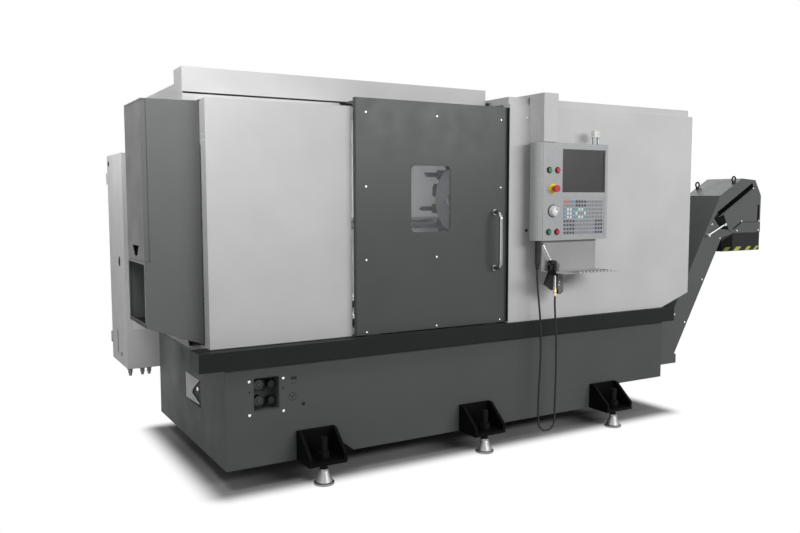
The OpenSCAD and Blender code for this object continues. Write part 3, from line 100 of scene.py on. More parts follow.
class Look:
    """A material whose colour, roughness and relief come from noise in the object's own space."""

    def __init__(self, name, **sockets):
        self.material = bpy.data.materials.new(name)
        self.material.use_nodes = True
        self.tree = self.material.node_tree
        self.shader = self.tree.nodes["Principled BSDF"]
        self.place = self.tree.nodes.new("ShaderNodeTexCoord").outputs["Object"]
        for socket, value in sockets.items():
            self.shader.inputs[socket.replace("_", " ")].default_value = value

    def add(self, kind, **values):
        made = self.tree.nodes.new(kind)
        for name, value in values.items():
            setattr(made, name, value)
        return made

    def link(self, source, target):
        self.tree.links.new(source, target)

    def noise(self, scale, detail=3.0, stretch=(1, 1, 1)):
        mapping = self.add("ShaderNodeMapping")
        mapping.inputs["Scale"].default_value = stretch
        texture = self.add("ShaderNodeTexNoise")
        texture.inputs["Scale"].default_value = scale
        texture.inputs["Detail"].default_value = detail
        self.link(self.place, mapping.inputs["Vector"])
        self.link(mapping.outputs["Vector"], texture.inputs["Vector"])
        return texture.outputs["Fac"]

    def colour(self, source, low, high):
        ramp = self.add("ShaderNodeValToRGB")
        for element, level, tone in zip(ramp.color_ramp.elements, (NOISE_LOW, NOISE_HIGH), (low, high)):
            element.position = level
            element.color = tone
        self.link(source, ramp.inputs["Fac"])
        self.link(ramp.outputs["Color"], self.shader.inputs["Base Color"])

    def roughness(self, source, low, high):
        span = self.add("ShaderNodeMapRange")
        span.inputs["From Min"].default_value = NOISE_LOW
        span.inputs["From Max"].default_value = NOISE_HIGH
        span.inputs["To Min"].default_value = low
        span.inputs["To Max"].default_value = high
        self.link(source, span.inputs["Value"])
        self.link(span.outputs["Result"], self.shader.inputs["Roughness"])

    def bump(self, source, strength, depth):
        relief = self.add("ShaderNodeBump")
        relief.inputs["Strength"].default_value = strength
        relief.inputs["Distance"].default_value = depth
        self.link(source, relief.inputs["Height"])
        self.link(relief.outputs["Normal"], self.shader.inputs["Normal"])
        return relief

    def soft_edges(self, relief, radius):
        """Edges that catch the light as if they were bent or broken over the radius."""
        edge = self.add("ShaderNodeBevel", samples=4)
        edge.inputs["Radius"].default_value = radius
        self.link(edge.outputs["Normal"], relief.inputs["Normal"])


def paint(name, colour, rough, peel=0.12, spec=0.5, vary=0.04):
    """Sprayed enamel: faint clouding of the colour, and orange peel a millimetre or so across."""
    look = Look(name, Specular_IOR_Level=spec)
    look.colour(look.noise(3.5, 5), shade(colour, 1 - vary), shade(colour, 1 + vary))
    look.roughness(look.noise(9, 4), rough - 0.05, rough + 0.06)
    look.soft_edges(look.bump(look.noise(520, 2), peel, 0.0006), 0.003)
    return look.material


def casting(name, colour):
    """Painted casting with the coarse skin of the mould."""
    look = Look(name)
    look.colour(look.noise(12, 6), shade(colour, 0.88), shade(colour, 1.08))
    look.roughness(look.noise(40, 3), 0.47, 0.65)
    look.bump(look.noise(240, 5), 0.35, 0.0012)
    return look.material


def metal(name, colour, rough, stretch, vary=0.08):
    """Ground or polished metal, with fine scratches along the short direction of the stretch."""
    look = Look(name, Metallic=1.0)
    look.colour(look.noise(26, 4, stretch), shade(colour, 1 - vary), shade(colour, 1 + vary))
    look.roughness(look.noise(90, 3, stretch), max(0.03, rough - 0.06), rough + 0.07)
    look.bump(look.noise(260, 3, stretch), 0.08, 0.0004)
    return look.material


def plastic(name, colour, rough, spec=0.5):
    """Moulded plastic with a fine spark-eroded grain."""
    look = Look(name, Specular_IOR_Level=spec)
    look.colour(look.noise(60, 3), shade(colour, 0.95), shade(colour, 1.05))
    look.roughness(look.noise(140, 3), rough - 0.06, rough + 0.06)
    look.bump(look.noise(700, 2), 0.1, 0.0003)
    return look.material


def rubber(name, colour):
    """Dull moulded rubber, cloudy with handling."""
    look = Look(name, Specular_IOR_Level=0.35)
    look.colour(look.noise(45, 4), shade(colour, 0.8), shade(colour, 1.25))
    look.roughness(look.noise(80, 3), 0.45, 0.62)
    look.bump(look.noise(420, 3), 0.2, 0.0004)
    return look.material


def glass(name, colour):
    """Clear pane, with a faint wipe haze in its gloss."""
    look = Look(name, Transmission_Weight=1.0, IOR=1.49, Specular_IOR_Level=0.03)
    look.colour(look.noise(5, 3), shade(colour, 0.97), colour)
    look.roughness(look.noise(14, 4), 0.02, 0.05)
    return look.material


def screen(name, colour):
    """Unlit display behind an anti-glare sheet."""
    look = Look(name, Specular_IOR_Level=0.4)
    look.colour(look.noise(7, 3), shade(colour, 0.94), shade(colour, 1.06))
    look.roughness(look.noise(30, 3), 0.28, 0.36)
    look.bump(look.noise(1500, 1), 0.05, 0.0001)
    return look.material


def lens(name, colour):
    """Milky beacon lens that lets some light through."""
    look = Look(name, Transmission_Weight=0.35, IOR=1.45, Subsurface_Weight=0.2)
    look.colour(look.noise(70, 2), shade(colour, 0.96), shade(colour, 1.02))
    look.roughness(look.noise(50, 2), 0.12, 0.2)
    return look.material


# Stretch of a metal's noise, which sets the direction of its scratches
ALONG_X = (0.06, 1, 1)
ALONG_Z = (1, 1, 0.06)
EVEN = (1, 1, 1)

LOOKS = {
    "white": paint("white_enamel", srgb(205, 205, 205), rough=0.5, spec=0.04),
    "dark": paint("dark_grey_enamel", srgb(75, 78, 77), rough=0.36, spec=0.25),
    "cover": paint("end_cover_enamel", srgb(108, 110, 109), rough=0.38, spec=0.12),
    "base": paint("base_enamel", srgb(92, 95, 94), rough=0.42, peel=0.18, spec=0.03),
    "rail": paint("black_enamel", srgb(42, 44, 44), rough=0.5, spec=0.06, vary=0.1),
    "bracket": paint("bracket_enamel", srgb(14, 13, 13), rough=0.5, spec=0.04, vary=0.12),
    "grey": paint("light_grey_enamel", srgb(186, 186, 186), rough=0.42, spec=0.3),
    "tray": paint("tray_enamel", srgb(164, 164, 165), rough=0.42, spec=0.25),
    "inside": paint("chamber_enamel", srgb(178, 178, 179), rough=0.35),
    "conveyor": paint("conveyor_enamel", srgb(98, 101, 100), rough=0.34, peel=0.14, spec=0.08),
    "chute": paint("chute_enamel", srgb(44, 45, 44), rough=0.5, spec=0.1),
    "casting": casting("cast_iron_grey", srgb(128, 131, 133)),
    "steel": metal("ground_steel", srgb(188, 189, 192), 0.28, ALONG_X),
    "disc": metal("turret_steel", srgb(132, 130, 138), 0.42, EVEN),
    "tool": metal("tool_steel", srgb(74, 74, 76), 0.34, ALONG_X),
    "jaw": metal("hard_jaw_steel", srgb(96, 97, 100), 0.36, EVEN),
    "black_steel": plastic("blackened_steel", srgb(16, 16, 17), rough=0.5, spec=0.08),
    "chrome": metal("chrome_plate", srgb(226, 227, 229), 0.09, ALONG_Z, vary=0.03),
    "handle": metal("brushed_handle", srgb(150, 151, 154), 0.2, ALONG_Z, vary=0.05),
    "zinc": metal("zinc_plate", srgb(214, 215, 216), 0.24, EVEN),
    "brass": metal("brass", srgb(216, 201, 160), 0.34, EVEN),
    "pad": metal("forged_steel", srgb(150, 150, 150), 0.42, EVEN),
    "post": metal("post_steel", srgb(140, 141, 143), 0.35, ALONG_Z),
    "pendant": plastic("pendant_plastic", srgb(164, 165, 166), rough=0.42),
    "black": plastic("black_plastic", srgb(19, 19, 20), rough=0.4, spec=0.25),
    "key_sheet": plastic("key_sheet", srgb(166, 168, 171), rough=0.45),
    "gland": plastic("gland_plastic", srgb(138, 139, 141), rough=0.45),
    "gun_grey": plastic("gun_grey_plastic", srgb(98, 98, 99), rough=0.4),
    "red": plastic("red_plastic", srgb(190, 38, 46), rough=0.3),
    "green": plastic("green_plastic", srgb(26, 124, 84), rough=0.3),
    "yellow": plastic("yellow_plastic", srgb(236, 208, 30), rough=0.36),
    "dial": plastic("dial_plastic", srgb(214, 214, 214), rough=0.28),
    "screen": screen("screen_sheet", srgb(46, 46, 48)),
    "glass": glass("window_pane", srgb(226, 230, 231)),
    "lens": lens("beacon_lens", srgb(238, 239, 238)),
    "rubber": rubber("black_rubber", srgb(21, 21, 22)),
    "ink": plastic("printed_black", srgb(22, 22, 23), rough=0.5, spec=0.3),
    "stripe": plastic("stripe_yellow", srgb(178, 182, 66), rough=0.45),
    # Darker copy of the stripe yellow, as painted shade on the chute's shadowed left part
    "stripe_painted_shade": plastic("stripe_yellow_painted_shade", srgb(104, 110, 40), rough=0.5, spec=0.3),
    "gauge": plastic("gauge_sheet", srgb(46, 48, 47), rough=0.35, spec=0.3),
    "print": plastic("white_print", srgb(222, 222, 224), rough=0.5),
    "orange": plastic("orange_print", srgb(206, 92, 46), rough=0.5),
    "blue": plastic("blue_print", srgb(92, 146, 190), rough=0.5),
    "taupe": plastic("taupe_print", srgb(136, 130, 130), rough=0.5),
    "mint": plastic("mint_print", srgb(84, 164, 130), rough=0.5),
    "navy": plastic("navy_print", srgb(52, 52, 66), rough=0.5),
    "key_grey": plastic("grey_print", srgb(134, 136, 142), rough=0.5),
}

# Finish of every CAD node
FINISHES = {
    "white": ["left_front_panel", "right_front_panel", "left_wall", "right_wall", "rear_wall", "roof",
              "track_hood", "pendant_arm"],
    "dark": ["door_panel"],
    "cover": ["end_cover"],
    "base": ["base_skirt", "hydraulic_pocket"],
    "rail": ["front_rail"],
    "bracket": ["foot_brackets"],
    "grey": ["electrical_cabinet", "cabinet_door"],
    "tray": ["tool_tray"],
    "inside": ["headstock_guard"],
    "conveyor": ["conveyor_housing"],
    "chute": ["discharge_chute"],
    "casting": ["bed_casting", "headstock", "saddle", "cross_slide", "turret_head", "tailstock"],
    "steel": ["guide_rails", "spindle", "chuck_body", "live_center", "conveyor_belt"],
    "disc": ["turret_disc"],
    "tool": ["cutting_tools"],
    "jaw": ["chuck_jaw_1", "chuck_jaw_2", "chuck_jaw_3"],
    "black_steel": ["tool_blocks", "leveling_screws"],
    "chrome": ["torque_rod"],
    "handle": ["door_handle"],
    "pad": ["leveling_pads"],
    "gland": ["cable_glands"],
    "pendant": ["pendant_housing"],
    "black": ["pressure_gauges", "pressure_knob_upper", "pressure_knob_lower", "air_gun", "gun_lever"],
    "key_sheet": ["keypad"],
    "red": ["e_stop_button", "power_off_button", "feed_hold_button"],
    "green": ["power_on_button", "cycle_start_button"],
    "dial": ["jog_dial"],
    "screen": ["pendant_screen"],
    "glass": ["door_window"],
    "lens": ["beacon"],
    "rubber": ["strain_relief", "air_hose"],
}


def finish_nodes():
    for look, names in FINISHES.items():
        for name in names:
            materials = nodes[name].data.materials
            if not materials:
                materials.append(LOOKS[look])
            for slot in range(len(materials)):
                materials[slot] = LOOKS[look]


finish_nodes()


# Mesh helpers

def settle(bm, name, look, body, smooth=35):
    """Turns the mesh into an object with its finish, riding on a body."""
    bmesh.ops.remove_doubles(bm, verts=bm.verts, dist=1e-6)
    bmesh.ops.recalc_face_normals(bm, faces=bm.faces)
    mesh = bpy.data.meshes.new(name)
    bm.to_mesh(mesh)
    bm.free()
    mesh.materials.append(LOOKS[look])
    mesh.shade_smooth()
    mesh.set_sharp_from_angle(angle=math.radians(smooth))
    piece = bpy.data.objects.new(name, mesh)
    bpy.context.scene.collection.objects.link(piece)
    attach(piece, body)
    return piece


# Directions to the right, up and out of each face of the machine
SIDES = {
    "front": ((1, 0, 0), (0, 0, 1), (0, -1, 0)),
    "left": ((0, -1, 0), (0, 0, 1), (-1, 0, 0)),
    "rear": ((-1, 0, 0), (0, 0, 1), (0, 1, 0)),
    "right": ((0, 1, 0), (0, 0, 1), (1, 0, 0)),
    "top": ((1, 0, 0), (0, 1, 0), (0, 0, 1)),
}


def on(side, x, y, z):
    """Frame in millimetres on a face: X to the right, Y up and Z out of the face."""
    turn = Matrix(SIDES[side]).transposed().to_4x4()
    return Matrix.Translation(at(x, y, z)) @ turn @ Matrix.Scale(MM, 4)


def lathe(bm, profile, transform, segments):
    """Revolves (radius, height) points round Z; a radius of 0 closes the end in a point."""
    rings = []
    for radius, height in profile:
        if radius == 0:
            rings.append([bm.verts.new(transform @ Vector((0, 0, height)))])
            continue
        ring = []
        for k in range(segments):
            a = 2 * math.pi * k / segments
            place = Vector((radius * math.cos(a), radius * math.sin(a), height))
            ring.append(bm.verts.new(transform @ place))
        rings.append(ring)
    for low, high in zip(rings, rings[1:]):
        for k in range(segments):
            n = (k + 1) % segments
            if len(low) == 1:
                bm.faces.new((low[0], high[n], high[k]))
            elif len(high) == 1:
                bm.faces.new((low[k], low[n], high[0]))
            else:
                bm.faces.new((low[k], low[n], high[n], high[k]))


def prism(bm, outline, transform, height):
    """Extrudes an outline in X and Y along Z, with both ends closed."""
    low = [bm.verts.new(transform @ Vector((x, y, 0))) for x, y in outline]
    high = [bm.verts.new(transform @ Vector((x, y, height))) for x, y in outline]
    bm.faces.new(list(reversed(low)))
    bm.faces.new(high)
    for k in range(len(outline)):
        n = (k + 1) % len(outline)
        bm.faces.new((low[k], low[n], high[n], high[k]))


def torus(bm, transform, radius, wire):
    """Ring of round wire in X and Y."""
    around, across = 32, 12
    rings = []
    for i in range(around):
        a = 2 * math.pi * i / around
        ring = []
        for k in range(across):
            b = 2 * math.pi * k / across
            reach = radius + wire * math.cos(b)
            point = Vector((reach * math.cos(a), reach * math.sin(a), wire * math.sin(b)))
            ring.append(bm.verts.new(transform @ point))
        rings.append(ring)
    for i in range(around):
        a, b = rings[i], rings[(i + 1) % around]
        for k in range(across):
            n = (k + 1) % across
            bm.faces.new((a[k], b[k], b[n], a[n]))


def round_outline(width, height, radius):
    """Rectangle with rounded corners, centred on the origin."""
    steps = 4
    points = []
    for corner, (sx, sy) in enumerate(((1, 1), (-1, 1), (-1, -1), (1, -1))):
        for k in range(steps + 1):
            a = math.pi / 2 * (corner + k / steps)
            points.append((sx * (width / 2 - radius) + radius * math.cos(a),
                           sy * (height / 2 - radius) + radius * math.sin(a)))
    return points


def disc_outline(radius):
    steps = 24
    angles = [2 * math.pi * k / steps for k in range(steps)]
    return [(radius * math.cos(a), radius * math.sin(a)) for a in angles]


def bar_outline(x0, y0, x1, y1):
    return [(x0, y0), (x1, y0), (x1, y1), (x0, y1)]


def shifted(outline, x, y):
    return [(px + x, py + y) for px, py in outline]


def turned(outline, degrees):
    c, s = math.cos(math.radians(degrees)), math.sin(math.radians(degrees))
    return [(x * c - y * s, x * s + y * c) for x, y in outline]


def ring_profile(inner, outer, height, edge):
    """Section of a flat ring with an eased outer edge."""
    return [(inner, 0), (outer, 0), (outer, height - edge), (outer - edge, height), (inner, height),
            (inner, 0)]


def cap_ring(inner, outer, depth):
    """Section of a thin cap that lies on a raised ring and wraps its rim."""
    skin, gap = 0.7, 0.05
    rim = outer + gap
    return [(inner, gap), (inner, skin), (outer - skin, skin), (outer + skin, -skin),
            (outer + skin, -depth), (rim, -depth), (rim, gap), (inner, gap)]


def revolve(name, look, body, turns):
    """Piece of turned shapes; each gives its profile, its frame and its number of segments."""
    bm = bmesh.new()
    for profile, frame_at, segments in turns:
        lathe(bm, profile, frame_at, segments)
    return settle(bm, name, look, body)


def plates(name, look, body, frame_at, outlines, height):
    """Piece of thin plates with the given outlines, all in one frame."""
    bm = bmesh.new()
    for outline in outlines:
        prism(bm, outline, frame_at, height)
    settle(bm, name, look, body)


# Sections of a button-head screw with a socket, in radii, and of a plug's dome, its heights in millimetres
SCREW_HEAD = [(0, 0), (1, 0), (1, 0.25), (0.86, 0.5), (0.5, 0.68), (0.42, 0.68), (0.38, 0.3), (0, 0.26)]
PLUG_DOME = [(0, 0), (1, 0), (1, 0.6), (0.85, 1.3), (0.4, 1.7), (0, 1.8)]


def screws(name, body, side, points, radius):
    """Button-head screws, seated on the points."""
    head = [(radius * r, radius * h) for r, h in SCREW_HEAD]
    return revolve(name, "zinc", body, [(head, on(side, *point), 18) for point in points])


def plugs(name, body, side, points):
    """Low domed plugs in holes; each point ends with the plug's radius."""
    turns = [([(radius * r, h) for r, h in PLUG_DOME], on(side, x, y, z), 20) for x, y, z, radius in points]
    revolve(name, "black", body, turns)


# Air hose: the route of the solid, in the machine's millimetres

HOSE_ROUTE = [(1773, -86, 975), (1773, -86, 940), (1775, -88, 880), (1782, -92, 800), (1790, -96, 700),
              (1794, -98, 600), (1794, -100, 500), (1789, -102, 400), (1781, -104, 300), (1776, -106, 200),
              (1776, -108, 110), (1783, -110, 83), (1803, -112, 63), (1830, -114, 56), (1857, -116, 63),
              (1877, -117, 83), (1884, -118, 110), (1885, -120, 200), (1887, -122, 300), (1887, -124, 400),
              (1885, -126, 500), (1881, -128, 600), (1873, -129, 690), (1867, -130, 760), (1866, -130, 796),
              (1866, -130, 826)]
HOSE_D = 11 * MM


def smooth_route(points):
    """Points of a smooth curve that passes through the route."""
    steps = 6
    path = []
    last = len(points) - 1
    for i in range(last):
        a, b = points[max(i - 1, 0)], points[i]
        c, d = points[i + 1], points[min(i + 2, last)]
        for k in range(steps):
            t = k / steps
            path.append(0.5 * (2 * b + (c - a) * t + (2 * a - 5 * b + 4 * c - d) * t * t
                               + (3 * b - a - 3 * c + d) * t ** 3))
    return path + [points[last]]


def gun_trim():
    """Brass fitting, bright stem and nozzle of the air gun, and the grey sides and screws of its guard."""
    x, y, z = HOSE_ROUTE[-1]
    gun = Matrix.Translation(at(x, y, z)) @ Matrix.Scale(MM, 4)
    head_z = 140.3
    lean = Matrix.Rotation(math.radians(-32), 4, "Y")
    nozzle = gun @ Matrix.Translation((-30, 0, head_z + 54)) @ lean
    nut = [(7, -0.6), (9.3, -0.6), (9.9, 0.4), (9.9, 13.4), (9.3, 14.3), (7, 14.3), (7, -0.6)]
    collar = [(7, 14), (8.5, 14), (8.5, 22), (8.9, 22.6), (8.9, 27), (8.5, 27.6), (8.5, 45.4), (7, 45.4),
              (7, 14)]
    stem = [(5.5, 45), (6.6, 45), (6.6, 136), (6, 138), (5.5, 138), (5.5, 45)]
    tube = [(3.5, 10), (7.2, 10), (7.2, 15), (4.5, 18), (4.5, 111), (4.1, 112), (3.5, 112), (3.5, 10)]
    pieces = [revolve("gun_fitting", "brass", "pendant", [(nut, gun, 6), (collar, gun, 24)]),
              revolve("gun_stem", "zinc", "pendant", [(stem, gun, 24)]),
              revolve("gun_nozzle", "zinc", "pendant", [(tube, nozzle, 20)])]
    guard = [(10, 126), (29, 120.5), (42.5, 111), (52.3, 27), (34.5, 12), (18, 14), (10, 44)]
    cap = [(-2, head_z + 3), (12, head_z + 3), (15.8, head_z + 35), (-6, head_z + 56)]
    guard_half, cap_half, sheet = 9, 15, 0.8
    bm = bmesh.new()
    for side, sign in (("front", 1), ("rear", -1)):
        for outline, half in ((guard, guard_half), (cap, cap_half)):
            facing = [(sign * px, pz) for px, pz in outline][::sign]
            prism(bm, facing, on(side, x, y - sign * half, z), sheet)
    pieces.append(settle(bm, "gun_sides", "gun_grey", "pendant"))
    face = y - guard_half - sheet
    points = [(x + 22, face, z + 80), (x + 19, face, z + 64)]
    pieces.append(screws("gun_screws", "pendant", "front", points, 4))
    return pieces


def make_hose():
    """The hose as a curve along its route, riding on the pendant in place of the imported hose, with the
    air gun's trim.
    """
    route = [at(*p) for p in HOSE_ROUTE]
    path = smooth_route(route)
    curve = bpy.data.curves.new("hose", "CURVE")
    curve.dimensions = "3D"
    curve.bevel_depth = HOSE_D / 2
    curve.bevel_resolution = 5
    curve.use_fill_caps = True
    spline = curve.splines.new("POLY")
    spline.points.add(len(path) - 1)
    for point, place in zip(spline.points, path):
        point.co = (*place, 1)
    curve.materials.append(LOOKS["rubber"])
    hose = bpy.data.objects.new("hose", curve)
    bpy.context.scene.collection.objects.link(hose)
    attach(hose, "pendant")
    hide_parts("air_hose")
    carried = [nodes["air_gun"], nodes["gun_lever"], nodes["strain_relief"]] + gun_trim()


make_hose()


# Hardware and signs on the doors and panels

# Ends of the enclosure and its rear face
WALL_LEFT, WALL_RIGHT, WALL_REAR = -113, 3089, 1400


def door_hardware():
    """Rows of screws on the door, none of them on its window, and the rubber seal beside it."""
    face = 20
    columns = [752, 1173.5, 1595]
    rows = [694, 1063, 1432, 1801]
    window = (columns[1], rows[2])
    points = [(x, face, z) for x in columns for z in rows if (x, z) != window]
    screws("door_screws", "door", "front", points, 6.5)
    foot, height = 682, 1188
    lip = [(1638, 1), (1638, 19.5), (1635.8, 18.5), (1636.4, 10), (1635.6, 2)]
    plates("door_seal", "rubber", "machine", on("top", 0, 0, foot), [lip], height)


def panel_hardware():
    """Screws and plugs round the pocket in the base and on the panels."""
    corners = [(117, 0, 518), (287, 0, 517), (117, 0, 357), (287, 0, 357)]
    screws("pocket_screws", "machine", "front", corners, 8)
    screws("panel_screws", "machine", "front", [(1761, 0, 1821)], 7)
    screws("tab_screws", "machine", "left", [(-47, 93, 1665), (-47, 93, 1640)], 5)
    plugs("panel_plugs", "machine", "front",
          [(118, 0, 468, 4.5), (287, 0, 470, 4.5), (391, 0, 379, 10), (1762, 0, 1191, 9)])


def function_signs():
    """Painted signs for the tailstock's and the chuck's pressure."""
    ink = 0.4
    tail = [(-18, 0), (-8, -8), (18, -9), (18, 9), (-8, 8)]
    dots = [shifted(disc_outline(3), x, -24) for x in (-10, 8)]
    sign = on("front", 339, 0, 511)
    plates("tailstock_sign", "ink", "machine", sign, [tail] + dots, ink)
    jaws = [turned(bar_outline(5, -2.2, 15, 2.2), 30 + 120 * k) for k in range(3)]
    rim = [(17.5, 0), (20, 0), (20, ink), (17.5, ink), (17.5, 0)]
    sign = on("front", 334, 0, 421)
    bm = bmesh.new()
    for outline in jaws + [disc_outline(3.2)]:
        prism(bm, outline, sign, ink)
    lathe(bm, rim, sign, 36)
    settle(bm, "chuck_sign", "ink", "machine")


def gauge_faces():
    """Dial sheets with scale and pointer, behind the gauges' rims."""
    sheet = 0.5
    disc = [(0, 0), (22.8, 0), (22.8, sheet), (0, sheet)]
    marks = []
    for k in range(21):
        inner = 18 if k % 5 else 15.5
        marks.append(turned(bar_outline(inner, -0.4, 21, 0.4), 225 - 13.5 * k))
    for name, z, reading in (("upper", 490, 40), ("lower", 412, 75)):
        dial = on("front", 175, 33, z)
        revolve("gauge_face_" + name, "gauge", "machine", [(disc, dial, 40)])
        pointer = turned([(-6, -1), (17, -0.4), (17, 0.4), (-6, 1)], reading)
        plates("gauge_marks_" + name, "key_grey", "machine",
               Matrix.Translation((0, -sheet * MM, 0)) @ dial, marks + [pointer, disc_outline(2.4)], 0.4)


def cabinet_hardware():
    """Latches and grip slots on the cabinet door."""
    def plate(y, z, width, height):
        return shifted(round_outline(width, height, 0.45 * min(width, height)), -y, z)
    face = on("left", -154, 0, 0)
    marks = [plate(1802, 1595, 20, 34), plate(1549, 992, 26, 62), plate(1678, 480, 16, 150),
             plate(1570, 412, 36, 24)]
    plates("cabinet_latches", "black", "cabinet_door", face, marks, 1.6)
    levers = [plate(1549, 992, 12, 44), plate(1802, 1595, 9, 22)]
    plates("latch_levers", "black_steel", "cabinet_door", face, levers, 5)


def left_end_hardware():
    """Strip along the left wall's edge, sheets in the base's side hole, and near-black plates painted as
    the shade of the end cover's recess.
    """
    # Black strip along the wall's lower flange, notched where it leaves part of the flange bare
    strip = [(-188, 587), (-188, 634), (-640, 634), (-652, 598), (-850, 606), (-1396, 634), (-1396, 587)]
    plates("sill_strip", "rubber", "machine", on("left", 0, 0, 0), [strip], 1.2)
    flap = [(-679, 318), (-440, 327), (-420, 333), (-560, 366), (-536, 390), (-421, 455), (-679, 455)]
    plates("hole_flap", "grey", "machine", on("left", 4, 0, 0), [flap], 2.5)
    back = bar_outline(-679, 318, -396, 455)
    plates("hole_back", "rail", "machine", on("left", 7.5, 0, 0), [back], 1.5)
    screws("hole_bolt", "machine", "left", [(6, 460, 403)], 11)
    # Near-black rim and floor, painted shade in the end cover's recess
    rim = [bar_outline(-493, 786, -145, 802), bar_outline(-493, 802, -477, 1074)]
    plates("recess_rim_painted_shade", "rail", "machine", on("left", -311, 0, 0), rim, 0.5)
    floor = bar_outline(-306, 150, -50, 488)
    plates("recess_floor_painted_shade", "rail", "machine", on("top", 0, 0, 789.1), [floor], 1)


def rear_hardware():
    """Screws along the joints of the rear panels and down the right-hand side."""
    panels = 4
    width = (WALL_RIGHT - WALL_LEFT) / panels
    points = []
    for k in range(panels + 1):
        for beside in (-34, 34):
            x = WALL_LEFT + k * width + beside
            for z in (630, 1050, 1470, 1870):
                behind_cabinet = x < 220 and z < 1680
                if WALL_LEFT < x < WALL_RIGHT and not behind_cabinet:
                    points.append((x, WALL_REAR, z))
    screws("rear_screws", "machine", "rear", points, 7)
    points = [(WALL_RIGHT, y, z) for y in (120, 545, 970, 1350) for z in (800, 1320, 1840)]
    screws("side_screws", "machine", "right", points, 7)


# Control pendant

PENDANT_FACE = -136

# Field of keys: left edge, top edge, width and height, with its columns and rows
KEY_FIELD = (1914, 1364, 300, 196)
KEY_COLUMNS, KEY_ROWS = 14, 9

# Blocks of keys by colour: first and last column, first and last row from the top
KEY_BLOCKS = {
    "orange": [(0, 1, 0, 0)],
    "blue": [(2, 3, 0, 0), (0, 0, 2, 4), (3, 3, 2, 4)],
    "taupe": [(0, 3, 1, 1)],
    "print": [(1, 2, 2, 4), (5, 6, 2, 2), (5, 6, 4, 4), (4, 4, 3, 3), (7, 7, 3, 3)],
    "mint": [(4, 4, 2, 2), (7, 7, 2, 2), (4, 4, 4, 4), (7, 7, 4, 4)],
    "navy": [(0, 3, 5, 8), (4, 7, 0, 1), (11, 13, 5, 8)],
    "key_grey": [(5, 6, 3, 3), (4, 7, 5, 8), (8, 10, 0, 8), (11, 13, 0, 4)],
}


def key_caps():
    """Low keys on the keypad's sheet, one piece for each colour."""
    left, top, width, height = KEY_FIELD
    across, down = width / KEY_COLUMNS, height / KEY_ROWS
    gap = 8
    cap = round_outline(across - gap, down - gap, 2.5)
    for look, blocks in KEY_BLOCKS.items():
        bm = bmesh.new()
        for first, last, upper, lower in blocks:
            for column in range(first, last + 1):
                for row in range(upper, lower + 1):
                    x = left + (column + 0.5) * across
                    z = top - (row + 0.5) * down
                    prism(bm, cap, on("front", x, PENDANT_FACE, z), 0.8)
        settle(bm, look + "_keys", look, "pendant")


def pendant_trim():
    """Emergency stop's collar, button bezels, the jog dial's scale and hub, and the beacon's posts."""
    middle, stop_z, jog_z = 1837, 1425, 1302
    collar_h, bezel_h = 3, 4
    collar = cap_ring(10.5, 27, collar_h)
    revolve("stop_collar", "yellow", "pendant",
            [(collar, on("front", middle, PENDANT_FACE - collar_h, stop_z), 48)])
    bezel = cap_ring(13.2, 17, bezel_h)
    places = [on("front", x, PENDANT_FACE - bezel_h, z) for x in (1808, 1867) for z in (1527, 1186)]
    revolve("button_bezels", "black", "pendant", [(bezel, place, 36) for place in places])
    scale = ring_profile(31, 35.5, 1.6, 0.5)
    revolve("jog_scale_ring", "ink", "pendant",
            [(scale, on("front", middle, PENDANT_FACE, jog_z), 48)])
    rim_y, hub_y = -146.3, -156.3
    ticks = []
    for k in range(40):
        inner = 25.4 if k % 5 else 24.6
        ticks.append(turned(bar_outline(inner, -0.35, 28.6, 0.35), 9 * k))
    plates("jog_ticks", "ink", "jog_dial", on("front", middle, rim_y, jog_z), ticks, 0.3)
    hub = [(0, 0), (12, 0), (12, 1.6), (11, 2.4), (8, 2.4), (7.4, 1.2), (0, 1.2)]
    revolve("jog_hub", "zinc", "jog_dial", [(hub, on("front", middle, hub_y, jog_z), 32)])
    sleeve = [(6.55, 0.2), (10, 0.2), (10, 5), (7.1, 6.5), (7.1, 34), (9, 35.5), (9, 41.6), (6.55, 41.6),
              (6.55, 0.2)]
    posts = [(sleeve, on("top", x, -86, 1678), 24) for x in (2178, 2214)]
    revolve("beacon_posts", "post", "pendant", posts)


def tray_hardware():
    """Black plates in the tray's slots as painted shade, white lips along its front edge as a painted
    highlight, and the guard where the gun rests.
    """
    left, front, top = 1792, -283, 966
    slots, first, pitch = 11, 1892, 26.636
    slot_shade = round_outline(15.4, 89.4, 7)
    lip = [(-4.6, 0), (4.6, 0), (4.6, 5), (3, 7), (-3, 7), (-4.6, 5)]
    lip_depth = 2.2
    starts = [first + k * pitch for k in range(slots)]
    # Black plates in the slots, painted shade so that the slots read dark
    plates("tray_slot_painted_shade", "rubber", "pendant", on("top", 0, 0, top - 2.6),
           [shifted(slot_shade, x + 8, front + 55) for x in starts], 2)
    # Lips in the white print colour, a painted highlight along the tray's front edge
    plates("tray_lips_painted_highlight", "print", "pendant", on("front", 0, front + lip_depth, top),
           [shifted(lip, x + 21.3, 0) for x in starts], lip_depth)
    guard = [(147, 949), (226, 952), (220, 981), (158, 977)]
    plates("gun_rest", "black", "pendant", on("left", left, 0, 0), [guard], 3)


# Chip conveyor

# Front and rear faces of the conveyor's head, and the chute's lower edge and end
HEAD_FRONT, HEAD_REAR = 134, 424
CHUTE_FOOT, CHUTE_END = 999.1, 4018.5


